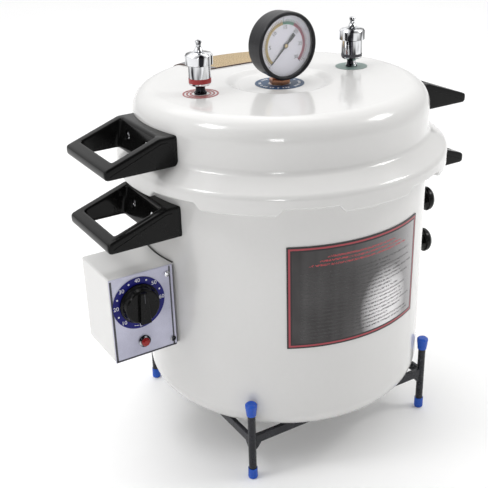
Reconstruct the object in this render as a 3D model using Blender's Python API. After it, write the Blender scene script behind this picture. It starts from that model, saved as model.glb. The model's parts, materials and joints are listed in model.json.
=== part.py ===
"""Portable electric autoclave: pot and turning lid, handles, gauge, valves, timer box and wire stand.

Metres, +Z up. The origin is on the floor, on the axis of the pot. The handles lie along X, the
timer box is on the -X side, and the instruction plate and the gauge face -Y.
"""
import math

import bmesh
import bpy
from mathutils import Matrix, Vector

# Fits
GAP = 0.0003              # gap between faces that touch
ROUND = 48                # sides of the pot and the lid
ROD_TWIST = 0.11          # radians that keep a rod's corners off the edges of what it meets

# Pot
POT_RADIUS = 0.1505
POT_WALL = 0.0035
POT_BOTTOM = 0.0515
POT_FILLET = 0.024
RIM_TOP = 0.3099
LUG_COUNT = 8
LUG_REACH = 0.1600        # radius of the locking lugs on the rim
LUG_ANGLE = 16.5          # degrees that each lug covers
LUG_LOW, LUG_HIGH = 0.3002, 0.3058
LOBE_TURN = -1.8          # degrees by which lobes and lugs are turned from the handle axis

# Lid
LID_RADIUS = 0.1500
LID_WALL = 0.0035
LID_TOP = 0.3750
SHOULDER = 0.022
RECESS_RADIUS, RECESS_DEPTH = 0.045, 0.0040
FLANGE_RADIUS = 0.1697
FLANGE_LINE = 0.3270      # height of the flange's sloping top where it would meet the dome wall
FLANGE_SLOPE = 35.0
SKIRT_LOW = 0.2954
HOOK_REACH = 0.1535       # inner radius of the hooks
HOOK_THICK = 0.0036
LOBE_ANGLE = 26.0
NOTCH_HIGH = 0.3016
LAND_HIGH = 0.3195        # underside that presses on the gasket
STEM_HOLE = 0.0064        # radius of the gauge's hole

# Handles (front and back arms, a grip bar across their ends)
HANDLE_HALF = 0.0468
ARM_WIDTH = 0.0095
GRIP_WIDTH = 0.0115
HANDLE_BASE = 0.0090      # flat top next to the shell
LID_HANDLE = {"low": 0.3255, "high": 0.3550, "tip": 0.2150, "tip_high": 0.3352}
POT_HANDLE = {"low": 0.2550, "high": 0.2862, "tip": 0.2185, "tip_high": 0.2655}
SCREW_SPREAD = 0.020      # half the distance between a handle's two screws

# Gauge
GAUGE_Z = 0.4105
GAUGE_BACK = 0.0085       # y of the case's back
CASE_RADIUS = 0.0323
BEZEL_RADIUS = 0.0333
WINDOW_RADIUS = 0.0294
CASE_DEPTH = 0.0216
BEZEL_FRONT = 0.0255
GLASS_THICK = 0.0012
DIAL_BACK = 0.0185

# Valves
VALVE_X = 0.0910
VALVE_LIFT = 0.004

# Timer box
BOX_LEFT = -0.2170
BOX_HALF = 0.0335
BOX_LOW, BOX_HIGH = 0.1323, 0.2230
BOX_WALL = 0.0012
PANEL_RIGHT = -0.1500
PANEL_THICK = 0.0012
DIAL_X, DIAL_Z = -0.1880, 0.1918
LAMP_X, LAMP_Z = -0.1855, 0.1482

# Stand
LEG_SPREAD = 0.1119       # x and y of each leg
LEG_RADIUS = 0.0040
LEG_LOW, LEG_HIGH = 0.0022, 0.0880
BAR_LOW, BAR_HIGH = 0.0412, POT_BOTTOM - GAP
BAR_HALF = 0.0022

# Chamber furniture
RACK_HIGH = 0.0830
BASKET_RADIUS = 0.1290
BASKET_HIGH = 0.2900
HEATER_RADIUS = 0.0920
HEATER_HIGH = 0.0680
TUBE_RADIUS = 0.0041
LEAD_HALF = 0.0160        # half the distance between the heater's two ends
LEAD_HIGH = 0.1520


# ---------------------------------------------------------------- materials

MATERIALS = {
    "enamel": ((0.86, 0.85, 0.83), 0.18, 0.0),
    "bakelite": ((0.015, 0.015, 0.016), 0.30, 0.0),
    "steel": ((0.62, 0.62, 0.63), 0.30, 1.0),
    "chrome": ((0.80, 0.80, 0.81), 0.06, 1.0),
    "copper": ((0.52, 0.25, 0.15), 0.35, 1.0),
    "brass": ((0.70, 0.52, 0.25), 0.30, 1.0),
    "rubber": ((0.75, 0.75, 0.72), 0.60, 0.0),
    "black_paint": ((0.02, 0.02, 0.028), 0.35, 0.0),
    "blue_vinyl": ((0.03, 0.14, 0.62), 0.30, 0.0),
    "foil": ((0.70, 0.71, 0.74), 0.18, 1.0),
    "tan_foil": ((0.62, 0.44, 0.22), 0.25, 1.0),
    "panel": ((0.72, 0.72, 0.80), 0.35, 0.6),
    "dial_blue": ((0.02, 0.03, 0.28), 0.35, 0.0),
    "dial_white": ((0.86, 0.86, 0.90), 0.45, 0.0),
    "red_lens": ((0.75, 0.05, 0.03), 0.20, 0.0),
    "glass": ((0.95, 0.97, 0.97), 0.03, 0.0),
    "aluminium": ((0.72, 0.72, 0.72), 0.35, 1.0),
    "ceramic": ((0.80, 0.78, 0.70), 0.50, 0.0),
}


def material(name):
    """The named Principled material, made once."""
    found = bpy.data.materials.get(name)
    if found:
        return found
    colour, rough, metal = MATERIALS[name]
    made = bpy.data.materials.new(name)
    made.use_nodes = True
    shader = made.node_tree.nodes["Principled BSDF"]
    shader.inputs["Base Color"].default_value = (*colour, 1.0)
    shader.inputs["Roughness"].default_value = rough
    shader.inputs["Metallic"].default_value = metal
    return made


# ---------------------------------------------------------------- mesh helpers

def clear_scene():
    for old in list(bpy.data.objects):
        bpy.data.objects.remove(old, do_unlink=True)


def add_object(name, mesh, finish, parent=None, place=(0, 0, 0)):
    """Links a mesh as an object, smooth except at its sharp edges."""
    made = bpy.data.objects.new(name, mesh)
    bpy.context.scene.collection.objects.link(made)
    made.location = place
    made.parent = parent
    mesh.materials.append(material(finish))
    mesh.shade_smooth()
    mesh.set_sharp_from_angle(angle=math.radians(35))
    return made


def finished(name, bm, finish, parent=None, place=(0, 0, 0)):
    bmesh.ops.recalc_face_normals(bm, faces=bm.faces)
    mesh = bpy.data.meshes.new(name)
    bm.to_mesh(mesh)
    bm.free()
    return add_object(name, mesh, finish, parent, place)


def arc(cx, cy, radius, start, end, steps):
    """Points along an arc, with angles in degrees."""
    points = []
    for step in range(steps + 1):
        angle = math.radians(start + (end - start) * step / steps)
        points.append((cx + radius * math.cos(angle), cy + radius * math.sin(angle)))
    return points


def turned(name, profile, finish, sides=24, parent=None, place=(0, 0, 0)):
    """Turns a closed profile of (radius, height) points about Z; points on the axis become poles."""
    bm = bmesh.new()
    rings = []
    for radius, height in profile:
        if radius < 1e-7:
            rings.append([bm.verts.new((0, 0, height))])
            continue
        ring = []
        for side in range(sides):
            angle = 2 * math.pi * side / sides
            ring.append(bm.verts.new((radius * math.cos(angle), radius * math.sin(angle), height)))
        rings.append(ring)
    for lower, upper in zip(rings, rings[1:] + rings[:1]):
        if len(lower) == 1 and len(upper) == 1:
            continue
        for side in range(sides):
            after = (side + 1) % sides
            if len(lower) == 1:
                bm.faces.new((lower[0], upper[side], upper[after]))
            elif len(upper) == 1:
                bm.faces.new((lower[side], lower[after], upper[0]))
            else:
                bm.faces.new((lower[side], lower[after], upper[after], upper[side]))
    return finished(name, bm, finish, parent, place)


def prism(name, outline, low, high, finish, parent=None, place=(0, 0, 0), axis="Z"):
    """Extrudes an outline along Z, or along Y with the outline in X and Z."""
    bm = bmesh.new()
    ends = []
    for level in (low, high):
        if axis == "Z":
            ends.append([bm.verts.new((x, y, level)) for x, y in outline])
        else:
            ends.append([bm.verts.new((x, level, z)) for x, z in outline])
    count = len(outline)
    bm.faces.new(ends[0])
    bm.faces.new(ends[1])
    for index in range(count):
        after = (index + 1) % count
        bm.faces.new((ends[0][index], ends[0][after], ends[1][after], ends[1][index]))
    return finished(name, bm, finish, parent, place)


def block(name, low, high, finish, parent=None, place=(0, 0, 0)):
    outline = [(low[0], low[1]), (high[0], low[1]), (high[0], high[1]), (low[0], high[1])]
    return prism(name, outline, low[2], high[2], finish, parent, place)


def rod(name, start, end, radius, finish="steel", sides=12):
    """A plain round bar between two points."""
    start, end = Vector(start), Vector(end)
    length = (end - start).length
    made = turned(name, [(0, 0), (radius, 0), (radius, length), (0, length)], finish, sides)
    turn = (end - start).to_track_quat("Z", "Y").to_matrix().to_4x4()
    made.data.transform(Matrix.Translation(start) @ turn @ Matrix.Rotation(ROD_TWIST, 4, "Z"))
    return made


def tube_along(name, points, radius, finish, sides=8):
    """A round bar that follows a line of points, with flat ends."""
    bm = bmesh.new()
    rings = []
    across = None
    for index, point in enumerate(points):
        before = points[max(index - 1, 0)]
        after = points[min(index + 1, len(points) - 1)]
        ahead = (Vector(after) - Vector(before)).normalized()
        if across is None:
            across = ahead.orthogonal().normalized()
        across = (across - ahead * across.dot(ahead)).normalized()
        side_way = ahead.cross(across)
        ring = []
        for side in range(sides):
            angle = 2 * math.pi * side / sides
            offset = across * math.cos(angle) + side_way * math.sin(angle)
            ring.append(bm.verts.new(Vector(point) + offset * radius))
        rings.append(ring)
    for lower, upper in zip(rings, rings[1:]):
        for side in range(sides):
            after = (side + 1) % sides
            bm.faces.new((lower[side], lower[after], upper[after], upper[side]))
    bm.faces.new(rings[0])
    bm.faces.new(rings[-1])
    return finished(name, bm, finish)


def combine(target, tool, operation):
    """Adds a Boolean to the target and leaves the tool out of the model."""
    step = target.modifiers.new(tool.name, "BOOLEAN")
    step.operation = operation
    step.object = tool
    step.solver = "EXACT"
    tool.hide_render = True
    tool.display_type = "WIRE"


def cut(target, *tools):
    for tool in tools:
        combine(target, tool, "DIFFERENCE")


def weld(target, *tools):
    for tool in tools:
        combine(target, tool, "UNION")


def facing_front(name, place):
    """An empty whose local Z points to the front, -Y, and whose local Y points up."""
    made = bpy.data.objects.new(name, None)
    bpy.context.scene.collection.objects.link(made)
    made.location = place
    made.rotation_euler = (math.pi / 2, 0, 0)
    return made


def sectors(name, inner, outer, low, high, width, count, turn):
    """Equally spaced ring sectors in one mesh, as a cutter or as parts to weld on."""
    bm = bmesh.new()
    for index in range(count):
        middle = 360.0 / count * index + turn
        inside = arc(0, 0, inner, middle - width / 2, middle + width / 2, 4)
        outside = arc(0, 0, outer, middle + width / 2, middle - width / 2, 4)
        outline = inside + outside
        ends = [[bm.verts.new((x, y, level)) for x, y in outline] for level in (low, high)]
        bm.faces.new(ends[0])
        bm.faces.new(ends[1])
        for corner in range(len(outline)):
            after = (corner + 1) % len(outline)
            bm.faces.new((ends[0][corner], ends[0][after], ends[1][after], ends[1][corner]))
    return finished(name, bm, "steel")


# ---------------------------------------------------------------- pot

def pot():
    inner = POT_RADIUS - POT_WALL
    floor = POT_BOTTOM + POT_WALL
    small = POT_FILLET - POT_WALL
    outside = arc(POT_RADIUS - POT_FILLET, POT_BOTTOM + POT_FILLET, POT_FILLET, -90, 0, 4)
    inside = arc(inner - small, floor + small, small, 0, -90, 3)
    profile = [(0, POT_BOTTOM), *outside, (POT_RADIUS, LUG_LOW), (POT_RADIUS, LUG_HIGH),
               (POT_RADIUS, RIM_TOP), (inner, RIM_TOP), *inside, (0, floor)]
    body = turned("pot", profile, "enamel", ROUND)
    lugs = sectors("pot_lugs", POT_RADIUS - 0.002, LUG_REACH, LUG_LOW, LUG_HIGH, LUG_ANGLE,
                   LUG_COUNT, 22.5 + LOBE_TURN)
    weld(body, lugs)
    for side in (-1, 1):
        hole = rod(f"lead_hole_{side}", (-POT_RADIUS - 0.01, side * LEAD_HALF, LEAD_HIGH),
                   (-POT_RADIUS + 0.02, side * LEAD_HALF, LEAD_HIGH), 0.0054, sides=16)
        cut(body, hole)


def pot_wall_cutter(name, radius, low=0.0, high=0.31):
    return turned(name, [(0, low), (radius, low), (radius, high), (0, high)], "steel", ROUND)


def pegs():
    """Two domed pegs on the pot's right wall."""
    face = 0.1507 + GAP
    for name, height in (("side_peg_upper", 0.2215), ("side_peg_lower", 0.1705)):
        dome = arc(0, 0.0215, 0.0140, 0, 90, 3)
        dome = [(r, 0.0215 + (z - 0.0215) * 0.55) for r, z in dome]
        profile = [(0, 0), (0.0060, 0), (0.0060, 0.0180), (0.0140, 0.0190), *dome[:-1],
                   (0, dome[-1][1])]
        peg = turned(name, profile, "bakelite", 18, place=(0, 0, height))
        lay = Matrix.Rotation(math.radians(-15), 4, "Z") @ Matrix.Rotation(math.pi / 2, 4, "Y")
        peg.data.transform(lay @ Matrix.Translation((0, 0, face)))


def instruction_plate():
    """A thin plate that follows the pot's wall at the front."""
    inside = arc(0, 0, POT_RADIUS + GAP, -121.8, -62.4, 16)
    outside = arc(0, 0, POT_RADIUS + GAP + 0.0006, -62.4, -121.8, 16)
    prism("instruction_plate", inside + outside, 0.1506, 0.2577, "foil")


# ---------------------------------------------------------------- handles

def handle(name, shape, side, shell_form):
    """A bakelite loop handle on the -X side (side -1) or the +X side (side 1)."""
    low, high, tip, tip_high = shape["low"], shape["high"], shape["tip"], shape["tip_high"]
    seat = 0.1400
    break_x = LID_RADIUS + HANDLE_BASE
    nose = (tip_high - low) / 2
    outline = [(seat, low), (tip - nose * 0.7, low), *arc(tip - nose * 0.7, low + nose * 0.7, nose * 0.7,
               -60, 0, 2), (tip, tip_high - nose * 0.8), (tip - nose * 0.7, tip_high),
               (break_x, high), (seat, high)]
    outline = [(side * x, z) for x, z in outline]
    body = prism(name, outline, -HANDLE_HALF, HANDLE_HALF, "bakelite", axis="Y")
    inner = HANDLE_HALF - ARM_WIDTH
    reach = tip - GRIP_WIDTH
    window = [(break_x + 0.0095, low - 0.01), (reach, low - 0.01), (reach, high + 0.01),
              (break_x - 0.0030, high + 0.01)]
    window = [(side * x, z) for x, z in window]
    cut(body, prism(f"{name}_window", window, -inner, inner, "steel", axis="Y"))
    cut(body, shell_form)
    height = low + (high - low) * 0.52
    number = 0
    for y in (-SCREW_SPREAD, SCREW_SPREAD):
        number += 1
        shell = math.sqrt(LID_RADIUS ** 2 - y ** 2)
        sink = rod(f"{name}_sink_{number}", (side * 0.1592, y, height), (side * 0.1760, y, height),
                   0.0052, sides=16)
        hole = rod(f"{name}_hole_{number}", (side * 0.1440, y, height), (side * 0.1600, y, height),
                   0.0024)
        cut(body, sink, hole)
        screw = rod(f"{name}_screw_{number}", (side * (0.1592 + GAP), y, height),
                    (side * 0.1618, y, height), 0.0042, "chrome", 16)
        shank = rod(f"{name}_shank_{number}", (side * (shell + 0.0013), y, height),
                    (side * 0.1605, y, height), 0.0020)
        weld(screw, shank)


def handles():
    grown = [(radius + 0.0004, height + 0.0004) for radius, height in lid_outside() if height > 0.315]
    lid_form = turned("lid_form_cutter", [(0, LID_TOP), *grown[1:], (grown[-1][0], 0.30), (0, 0.30)],
                      "steel", ROUND)
    pot_wall = pot_wall_cutter("pot_wall_cutter", POT_RADIUS + 0.0004, 0.20, 0.31)
    for side, word in ((-1, "left"), (1, "right")):
        handle(f"lid_handle_{word}", LID_HANDLE, side, lid_form)
        handle(f"pot_handle_{word}", POT_HANDLE, side, pot_wall)


# ---------------------------------------------------------------- lid

def lid_outside():
    """Outer profile of the lid from the centre to the foot of the skirt."""
    slope = math.radians(FLANGE_SLOPE)
    shoulder = arc(LID_RADIUS - SHOULDER, LID_TOP - SHOULDER, SHOULDER, 90, 0, 4)
    foot = FLANGE_LINE + 0.0035
    bend = 0.008
    arc_x = FLANGE_RADIUS - bend
    start_x = arc_x + bend * math.sin(slope)
    start_z = FLANGE_LINE - (start_x - LID_RADIUS) * math.tan(slope)
    edge = arc(arc_x, start_z - bend * math.cos(slope), bend, 90 - FLANGE_SLOPE, 0, 2)
    lip = arc(FLANGE_RADIUS - 0.0025, SKIRT_LOW + 0.0025, 0.0025, 0, -90, 2)
    return [(STEM_HOLE, LID_TOP - RECESS_DEPTH), (RECESS_RADIUS, LID_TOP - RECESS_DEPTH),
            (RECESS_RADIUS + 0.008, LID_TOP), *shoulder, (LID_RADIUS, foot),
            (LID_RADIUS + 0.0008, FLANGE_LINE + 0.0006),
            (LID_RADIUS + 0.0034, FLANGE_LINE - 0.0024), *edge, *lip]


def lid_inside():
    """Inner profile, from the hooks up to the centre."""
    inner = LID_RADIUS - LID_WALL
    slope = math.tan(math.radians(FLANGE_SLOPE))
    skirt = FLANGE_RADIUS - 0.0037
    under = FLANGE_LINE - 0.0043
    land_end = LID_RADIUS + (under - LAND_HIGH) / slope
    shoulder = arc(inner - SHOULDER + LID_WALL, LID_TOP - SHOULDER, SHOULDER - LID_WALL, 0, 90, 3)
    top = LID_TOP - LID_WALL
    return [(HOOK_REACH, SKIRT_LOW), (HOOK_REACH, SKIRT_LOW + HOOK_THICK),
            (skirt, SKIRT_LOW + HOOK_THICK), (skirt, under - (skirt - LID_RADIUS) * slope),
            (land_end, LAND_HIGH), (inner, LAND_HIGH), *shoulder,
            (RECESS_RADIUS + 0.008, top), (RECESS_RADIUS, top - RECESS_DEPTH),
            (STEM_HOLE, top - RECESS_DEPTH)]


def lid():
    body = turned("lid", lid_outside() + lid_inside(), "enamel", ROUND)
    notch = 360.0 / LUG_COUNT - LOBE_ANGLE
    cut(body, sectors("lid_notches", HOOK_REACH - 0.001, 0.180, 0.28, NOTCH_HIGH, notch, LUG_COUNT,
                      22.5 + LOBE_TURN))
    for name, x in (("left", -VALVE_X), ("right", VALVE_X)):
        cut(body, rod(f"lid_hole_{name}", (x, 0, 0.34), (x, 0, 0.39), 0.0046, sides=18))


def lid_gasket():
    low, high = RIM_TOP + GAP, LAND_HIGH - GAP
    profile = [(0.1468, low), (0.1543, low), (0.1543, high), (0.1468, high)]
    turned("lid_gasket", profile, "rubber", ROUND)


def lid_height(radius):
    """Height of the lid's outer surface outside the recess."""
    flat_end = LID_RADIUS - SHOULDER
    if radius <= flat_end:
        return LID_TOP
    return LID_TOP - SHOULDER + math.sqrt(max(SHOULDER ** 2 - (radius - flat_end) ** 2, 0.0))


def name_plate():
    """A thin plate at the back of the lid, bent over the shoulder and wider at the back."""
    across, deep = 10, 10
    near, depth = 0.0790, 0.0520
    near_half, far_half = 0.0380, 0.0540
    bm = bmesh.new()
    layers = []
    for lift in (0.0007, 0.0013):
        grid = []
        for row in range(deep + 1):
            line = []
            for column in range(across + 1):
                y = near + depth * row / deep
                x = (near_half + (far_half - near_half) * row / deep) * (2 * column / across - 1)
                line.append(bm.verts.new((x, y, lid_height(math.hypot(x, y)) + lift)))
            grid.append(line)
        layers.append(grid)
    lower, upper = layers
    for row in range(deep):
        for column in range(across):
            for grid in layers:
                bm.faces.new((grid[row][column], grid[row][column + 1],
                              grid[row + 1][column + 1], grid[row + 1][column]))
    border = [(0, c) for c in range(across)] + [(r, across) for r in range(deep)]
    border += [(deep, c) for c in range(across, 0, -1)] + [(r, 0) for r in range(deep, 0, -1)]
    for (r1, c1), (r2, c2) in zip(border, border[1:] + border[:1]):
        bm.faces.new((lower[r1][c1], lower[r2][c2], upper[r2][c2], upper[r1][c1]))
    finished("lid_name_plate", bm, "tan_foil")


# ---------------------------------------------------------------- gauge

def gauge():
    frame = facing_front("gauge_frame", (0, GAUGE_BACK, GAUGE_Z))
    inner = CASE_RADIUS - 0.0015
    case = turned("gauge_case", [(0, 0), (CASE_RADIUS - 0.003, 0), (CASE_RADIUS, 0.003),
                                 (CASE_RADIUS, CASE_DEPTH), (inner, CASE_DEPTH), (inner, 0.0020),
                                 (0, 0.0020)], "bakelite", 32, frame)
    cut(case, rod("case_hole", (0, 0, 0.3600), (0, 0, 0.3900), 0.0064, sides=16))
    glass_low = CASE_DEPTH + GAP
    turned("gauge_glass", [(0, glass_low), (inner + 0.0012, glass_low),
                           (inner + 0.0012, glass_low + GLASS_THICK), (0, glass_low + GLASS_THICK)],
           "glass", 32, frame)
    ring_low = glass_low + GLASS_THICK + GAP
    skirt = CASE_RADIUS + GAP
    turned("gauge_bezel", [(WINDOW_RADIUS, ring_low), (skirt, ring_low), (skirt, 0.0150),
                           (BEZEL_RADIUS, 0.0150), (BEZEL_RADIUS, BEZEL_FRONT - 0.0012),
                           (BEZEL_RADIUS - 0.0012, BEZEL_FRONT), (WINDOW_RADIUS + 0.0010, BEZEL_FRONT),
                           (WINDOW_RADIUS, BEZEL_FRONT - 0.0010)], "bakelite", 32, frame)
    turned("gauge_dial", [(0.0018, DIAL_BACK), (0.0304, DIAL_BACK), (0.0304, DIAL_BACK + 0.0008),
                          (0.0018, DIAL_BACK + 0.0008)],
           "dial_white", 32, frame)
    movement = turned("gauge_movement", [(0.0016, 0.0078), (0.0100, 0.0078), (0.0100, 0.0100),
                                         (0.0016, 0.0100)], "brass", 20, frame)
    for index, (x, y) in enumerate(((-0.0070, 0.0), (0.0070, 0.0))):
        pillar = turned(f"movement_pillar_{index}", [(0, 0.0023), (0.0015, 0.0023), (0.0015, 0.0085),
                                                     (0, 0.0085)], "brass", 10, frame, (x, y, 0))
        weld(movement, pillar)
    needle(frame)
    bourdon_tube()
    gauge_stem()


def needle(frame):
    """Pointer, hub and arbor; it points to the zero mark at the lower left."""
    low = DIAL_BACK + 0.0014
    hub = turned("gauge_needle", [(0, 0.0105), (0.0012, 0.0105), (0.0012, low), (0.0027, low),
                                  (0.0027, low + 0.0014), (0, low + 0.0014)], "bakelite", 16, frame)
    outline = [(0.0006, 0.0240), (0.0011, 0.0), (0.0019, -0.0085), (-0.0019, -0.0085),
               (-0.0011, 0.0), (-0.0006, 0.0240)]
    zero = math.radians(135)
    outline = [(x * math.cos(zero) - y * math.sin(zero), x * math.sin(zero) + y * math.cos(zero))
               for x, y in outline]
    weld(hub, prism("needle_pointer", outline, low + 0.0003, low + 0.0010, "bakelite", frame))


def bourdon_tube():
    """The gauge's C-shaped tube, from the socket round to its free end."""
    points = []
    for step in range(15):
        angle = math.radians(-62 + 250 * step / 14)
        radius = 0.0215
        points.append((radius * math.cos(angle), GAUGE_BACK - 0.0060, GAUGE_Z + radius * math.sin(angle)))
    tube_along("bourdon_tube", points, 0.0020, "brass", 6)


def gauge_stem():
    """Threaded socket that carries the gauge, with a copper nut on the lid."""
    floor = LID_TOP - RECESS_DEPTH
    top = GAUGE_Z - 0.0180
    neck = 0.0050
    turned("gauge_stem", [(0, 0.3560), (0.0058, 0.3560), (0.0058, floor + GAP),
                          (0.0112, floor + GAP), (0.0112, floor + 0.0046), (neck, floor + 0.0054),
                          (neck, top), (0, top)], "copper", 16)
    nut = turned("gauge_nut", [(0, 0.3600), (0.0110, 0.3600), (0.0110, floor - LID_WALL - GAP),
                               (0, floor - LID_WALL - GAP)], "brass", 6)
    cut(nut, rod("gauge_nut_hole", (0, 0, 0.35), (0, 0, 0.38), 0.0062, sides=18))


# ---------------------------------------------------------------- valves

def spring(name, x, low, high):
    points = []
    turns, per_turn, wire = 3.5, 8, 0.0007
    steps = int(turns * per_turn)
    for step in range(steps + 1):
        angle = 2 * math.pi * step / per_turn
        height = low + wire + (high - low - 2 * wire) * step / steps
        points.append((x + 0.0050 * math.cos(angle), 0.0050 * math.sin(angle), height))
    tube_along(name, points, wire, "steel", 4)


def valve(word, x):
    """Spring valve: nozzle and housing, screw cap, lifting plunger and spring."""
    top = LID_TOP
    turned(f"valve_body_{word}", [(0.0018, top - 0.0190), (0.0042, top - 0.0190), (0.0042, top + GAP),
                                  (0.0052, top + GAP), (0.0052, top + 0.0092), (0.0100, top + 0.0092),
                                  (0.0106, top + 0.0100), (0.0106, top + 0.0280), (0.0094, top + 0.0284),
                                  (0.0094, top + 0.0360), (0.0080, top + 0.0360), (0.0080, top + 0.0125),
                                  (0.0018, top + 0.0125)], "chrome", 18, place=(x, 0, 0))
    turned(f"valve_cap_{word}", [(0.0028, top + 0.0368), (0.0098, top + 0.0368), (0.0098, top + 0.0287),
                                 (0.0134, top + 0.0287), (0.0134, top + 0.0388), (0.0120, top + 0.0400),
                                 (0.0028, top + 0.0404)], "chrome", 18, place=(x, 0, 0))
    turned(f"valve_plunger_{word}", [(0, top + 0.0128), (0.0064, top + 0.0128), (0.0064, top + 0.0144),
                                     (0.0024, top + 0.0148), (0.0024, top + 0.0408),
                                     (0.0046, top + 0.0408), (0.0036, top + 0.0430),
                                     (0.0024, top + 0.0465), (0.0034, top + 0.0495),
                                     (0.0032, top + 0.0510), (0, top + 0.0517)],
           "chrome", 12, place=(x, 0, 0))
    spring(f"valve_spring_{word}", x, top + 0.0151, top + 0.0365)


# ---------------------------------------------------------------- timer box

def timer_box():
    shell = block("timer_box_casing", (BOX_LEFT, -BOX_HALF + PANEL_THICK + GAP, BOX_LOW),
                  (-0.1380, BOX_HALF, BOX_HIGH), "enamel")
    hollow = block("box_hollow", (BOX_LEFT + BOX_WALL, -0.05, BOX_LOW + BOX_WALL),
                   (-0.1300, BOX_HALF - BOX_WALL, BOX_HIGH - BOX_WALL), "steel")
    wall = pot_wall_cutter("box_wall_cutter", POT_RADIUS + 0.0006, 0.1, 0.25)
    gland_hole = rod("gland_hole", (-0.1880, 0.0100, 0.12), (-0.1880, 0.0100, 0.14), 0.0064, sides=16)
    cut(shell, hollow, wall, gland_hole)
    front = facing_front("panel_frame", (DIAL_X, -BOX_HALF, DIAL_Z))
    panel = block("timer_panel", (BOX_LEFT - DIAL_X, BOX_LOW - DIAL_Z, -PANEL_THICK),
                  (PANEL_RIGHT - DIAL_X, BOX_HIGH - DIAL_Z, 0), "panel", front)
    lamp = (LAMP_X - DIAL_X, LAMP_Z - DIAL_Z, 0)
    cut(panel, turned("shaft_hole", [(0, -0.01), (0.0042, -0.01), (0.0042, 0.01), (0, 0.01)], "steel",
                      16, front))
    cut(panel, turned("lamp_hole", [(0, -0.01), (0.0048, -0.01), (0.0048, 0.01), (0, 0.01)], "steel",
                      16, front, lamp))
    for number, (x, z) in enumerate(((-0.1562, 0.2142), (-0.1545, 0.1408)), start=1):
        spot = (x - DIAL_X, z - DIAL_Z, 0)
        cut(panel, turned(f"screw_hole_{number}", [(0, -0.01), (0.0019, -0.01), (0.0019, 0.01), (0, 0.01)],
                          "steel", 10, front, spot))
        turned(f"panel_screw_{number}", [(0, -0.0070), (0.0015, -0.0070), (0.0015, GAP), (0.0030, GAP),
                                         (0.0026, 0.0015), (0, 0.0020)], "chrome", 12, front, spot)
    timer(front)
    pilot_lamp(front, lamp)
    turned("cable_gland", [(0.0036, -0.0120), (0.0075, -0.0120), (0.0095, -0.0080), (0.0095, -GAP),
                           (0.0061, -GAP), (0.0061, 0.0060), (0.0036, 0.0060)], "bakelite", 16,
           place=(-0.1880, 0.0100, BOX_LOW))
    block("terminal_block", (-0.2080, 0.0120, 0.1680), (-0.1800, 0.0300, 0.1860), "ceramic")


def timer(front):
    back = -PANEL_THICK - GAP
    turned("timer_body", [(0, -0.0260), (0.0200, -0.0260), (0.0200, back), (0.0033, back),
                          (0.0033, -0.0140), (0, -0.0140)], "steel", 24, front)
    turned("timer_dial", [(0.0060, GAP), (0.0274, GAP), (0.0274, 0.0008), (0.0060, 0.0008)],
           "dial_blue", 32, front)
    turned("timer_shaft", [(0, -0.0130), (0.0030, -0.0130), (0.0030, 0.0100), (0, 0.0100)], "steel",
           14, front)
    knob = turned("timer_knob", [(0.0033, 0.0012), (0.0207, 0.0012), (0.0207, 0.0030), (0.0190, 0.0052),
                                 (0.0178, 0.0100), (0.0165, 0.0112), (0, 0.0112), (0, 0.0104),
                                 (0.0033, 0.0104)], "bakelite", 28, front)
    grip = [(-0.0045, -0.0168), (0.0045, -0.0168), (0.0036, 0.0168), (-0.0036, 0.0168)]
    weld(knob, prism("knob_grip", grip, 0.0107, 0.0175, "bakelite", front))


def pilot_lamp(front, spot):
    turned("pilot_lamp_body", [(0.0036, -0.0160), (0.0045, -0.0160), (0.0045, GAP), (0.0062, GAP),
                               (0.0058, 0.0022), (0.0036, 0.0024)], "chrome", 14, front, spot)
    turned("pilot_lamp_lens", [(0, -0.0100), (0.0033, -0.0100), (0.0033, 0.0027), (0.0044, 0.0027),
                               (0.0040, 0.0044), (0.0022, 0.0056), (0, 0.0060)],
           "red_lens", 14, front, spot)


# ---------------------------------------------------------------- heater, rack and basket

def heater():
    """Tubular element: a ring under the rack whose ends rise and leave through the pot's wall."""
    start = math.degrees(math.asin(LEAD_HALF / HEATER_RADIUS))
    ring = arc(0, 0, HEATER_RADIUS, 180 + start, 540 - start, 24)
    rise_x = -POT_RADIUS + POT_WALL + 0.0075
    path = [(-POT_RADIUS - 0.0050, -LEAD_HALF, LEAD_HIGH), (rise_x - 0.0050, -LEAD_HALF, LEAD_HIGH),
            (rise_x - 0.0015, -LEAD_HALF, LEAD_HIGH - 0.0015), (rise_x, -LEAD_HALF, LEAD_HIGH - 0.0060)]
    path += [(rise_x, -LEAD_HALF, HEATER_HIGH + 0.012), (rise_x + 0.003, -LEAD_HALF, HEATER_HIGH + 0.003),
             (rise_x + 0.012, -LEAD_HALF, HEATER_HIGH)]
    leaving = [(x, -y, z) for x, y, z in reversed(path)]
    path += [(x, y, HEATER_HIGH) for x, y in ring] + leaving
    element = tube_along("heating_element", path, TUBE_RADIUS, "steel", 6)
    for side in (-1, 1):
        bush = rod(f"heater_bush_{side}", (-POT_RADIUS - 0.0042, side * LEAD_HALF, LEAD_HIGH),
                   (rise_x - 0.0035, side * LEAD_HALF, LEAD_HIGH), 0.0050, sides=12)
        weld(element, bush)


def rack():
    """Perforated rack on three feet."""
    plate = turned("rack", [(0, RACK_HIGH - 0.0020), (0.1330, RACK_HIGH - 0.0020), (0.1330, RACK_HIGH),
                            (0, RACK_HIGH)], "aluminium", 36)
    for row, (radius, count) in enumerate(((0.0, 1), (0.062, 6))):
        for index in range(count):
            angle = 2 * math.pi * (index + 0.5) / count
            spot = (radius * math.cos(angle), radius * math.sin(angle))
            cut(plate, rod(f"rack_hole_{row}_{index}", (*spot, 0.07), (*spot, 0.09), 0.0120, sides=10))
    for index in range(3):
        angle = math.radians(30 + 120 * index)
        spot = (0.114 * math.cos(angle), 0.114 * math.sin(angle))
        weld(plate, rod(f"rack_foot_{index}", (*spot, POT_BOTTOM + POT_WALL + GAP), (*spot, 0.0820), 0.0040,
                        sides=10))


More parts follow.
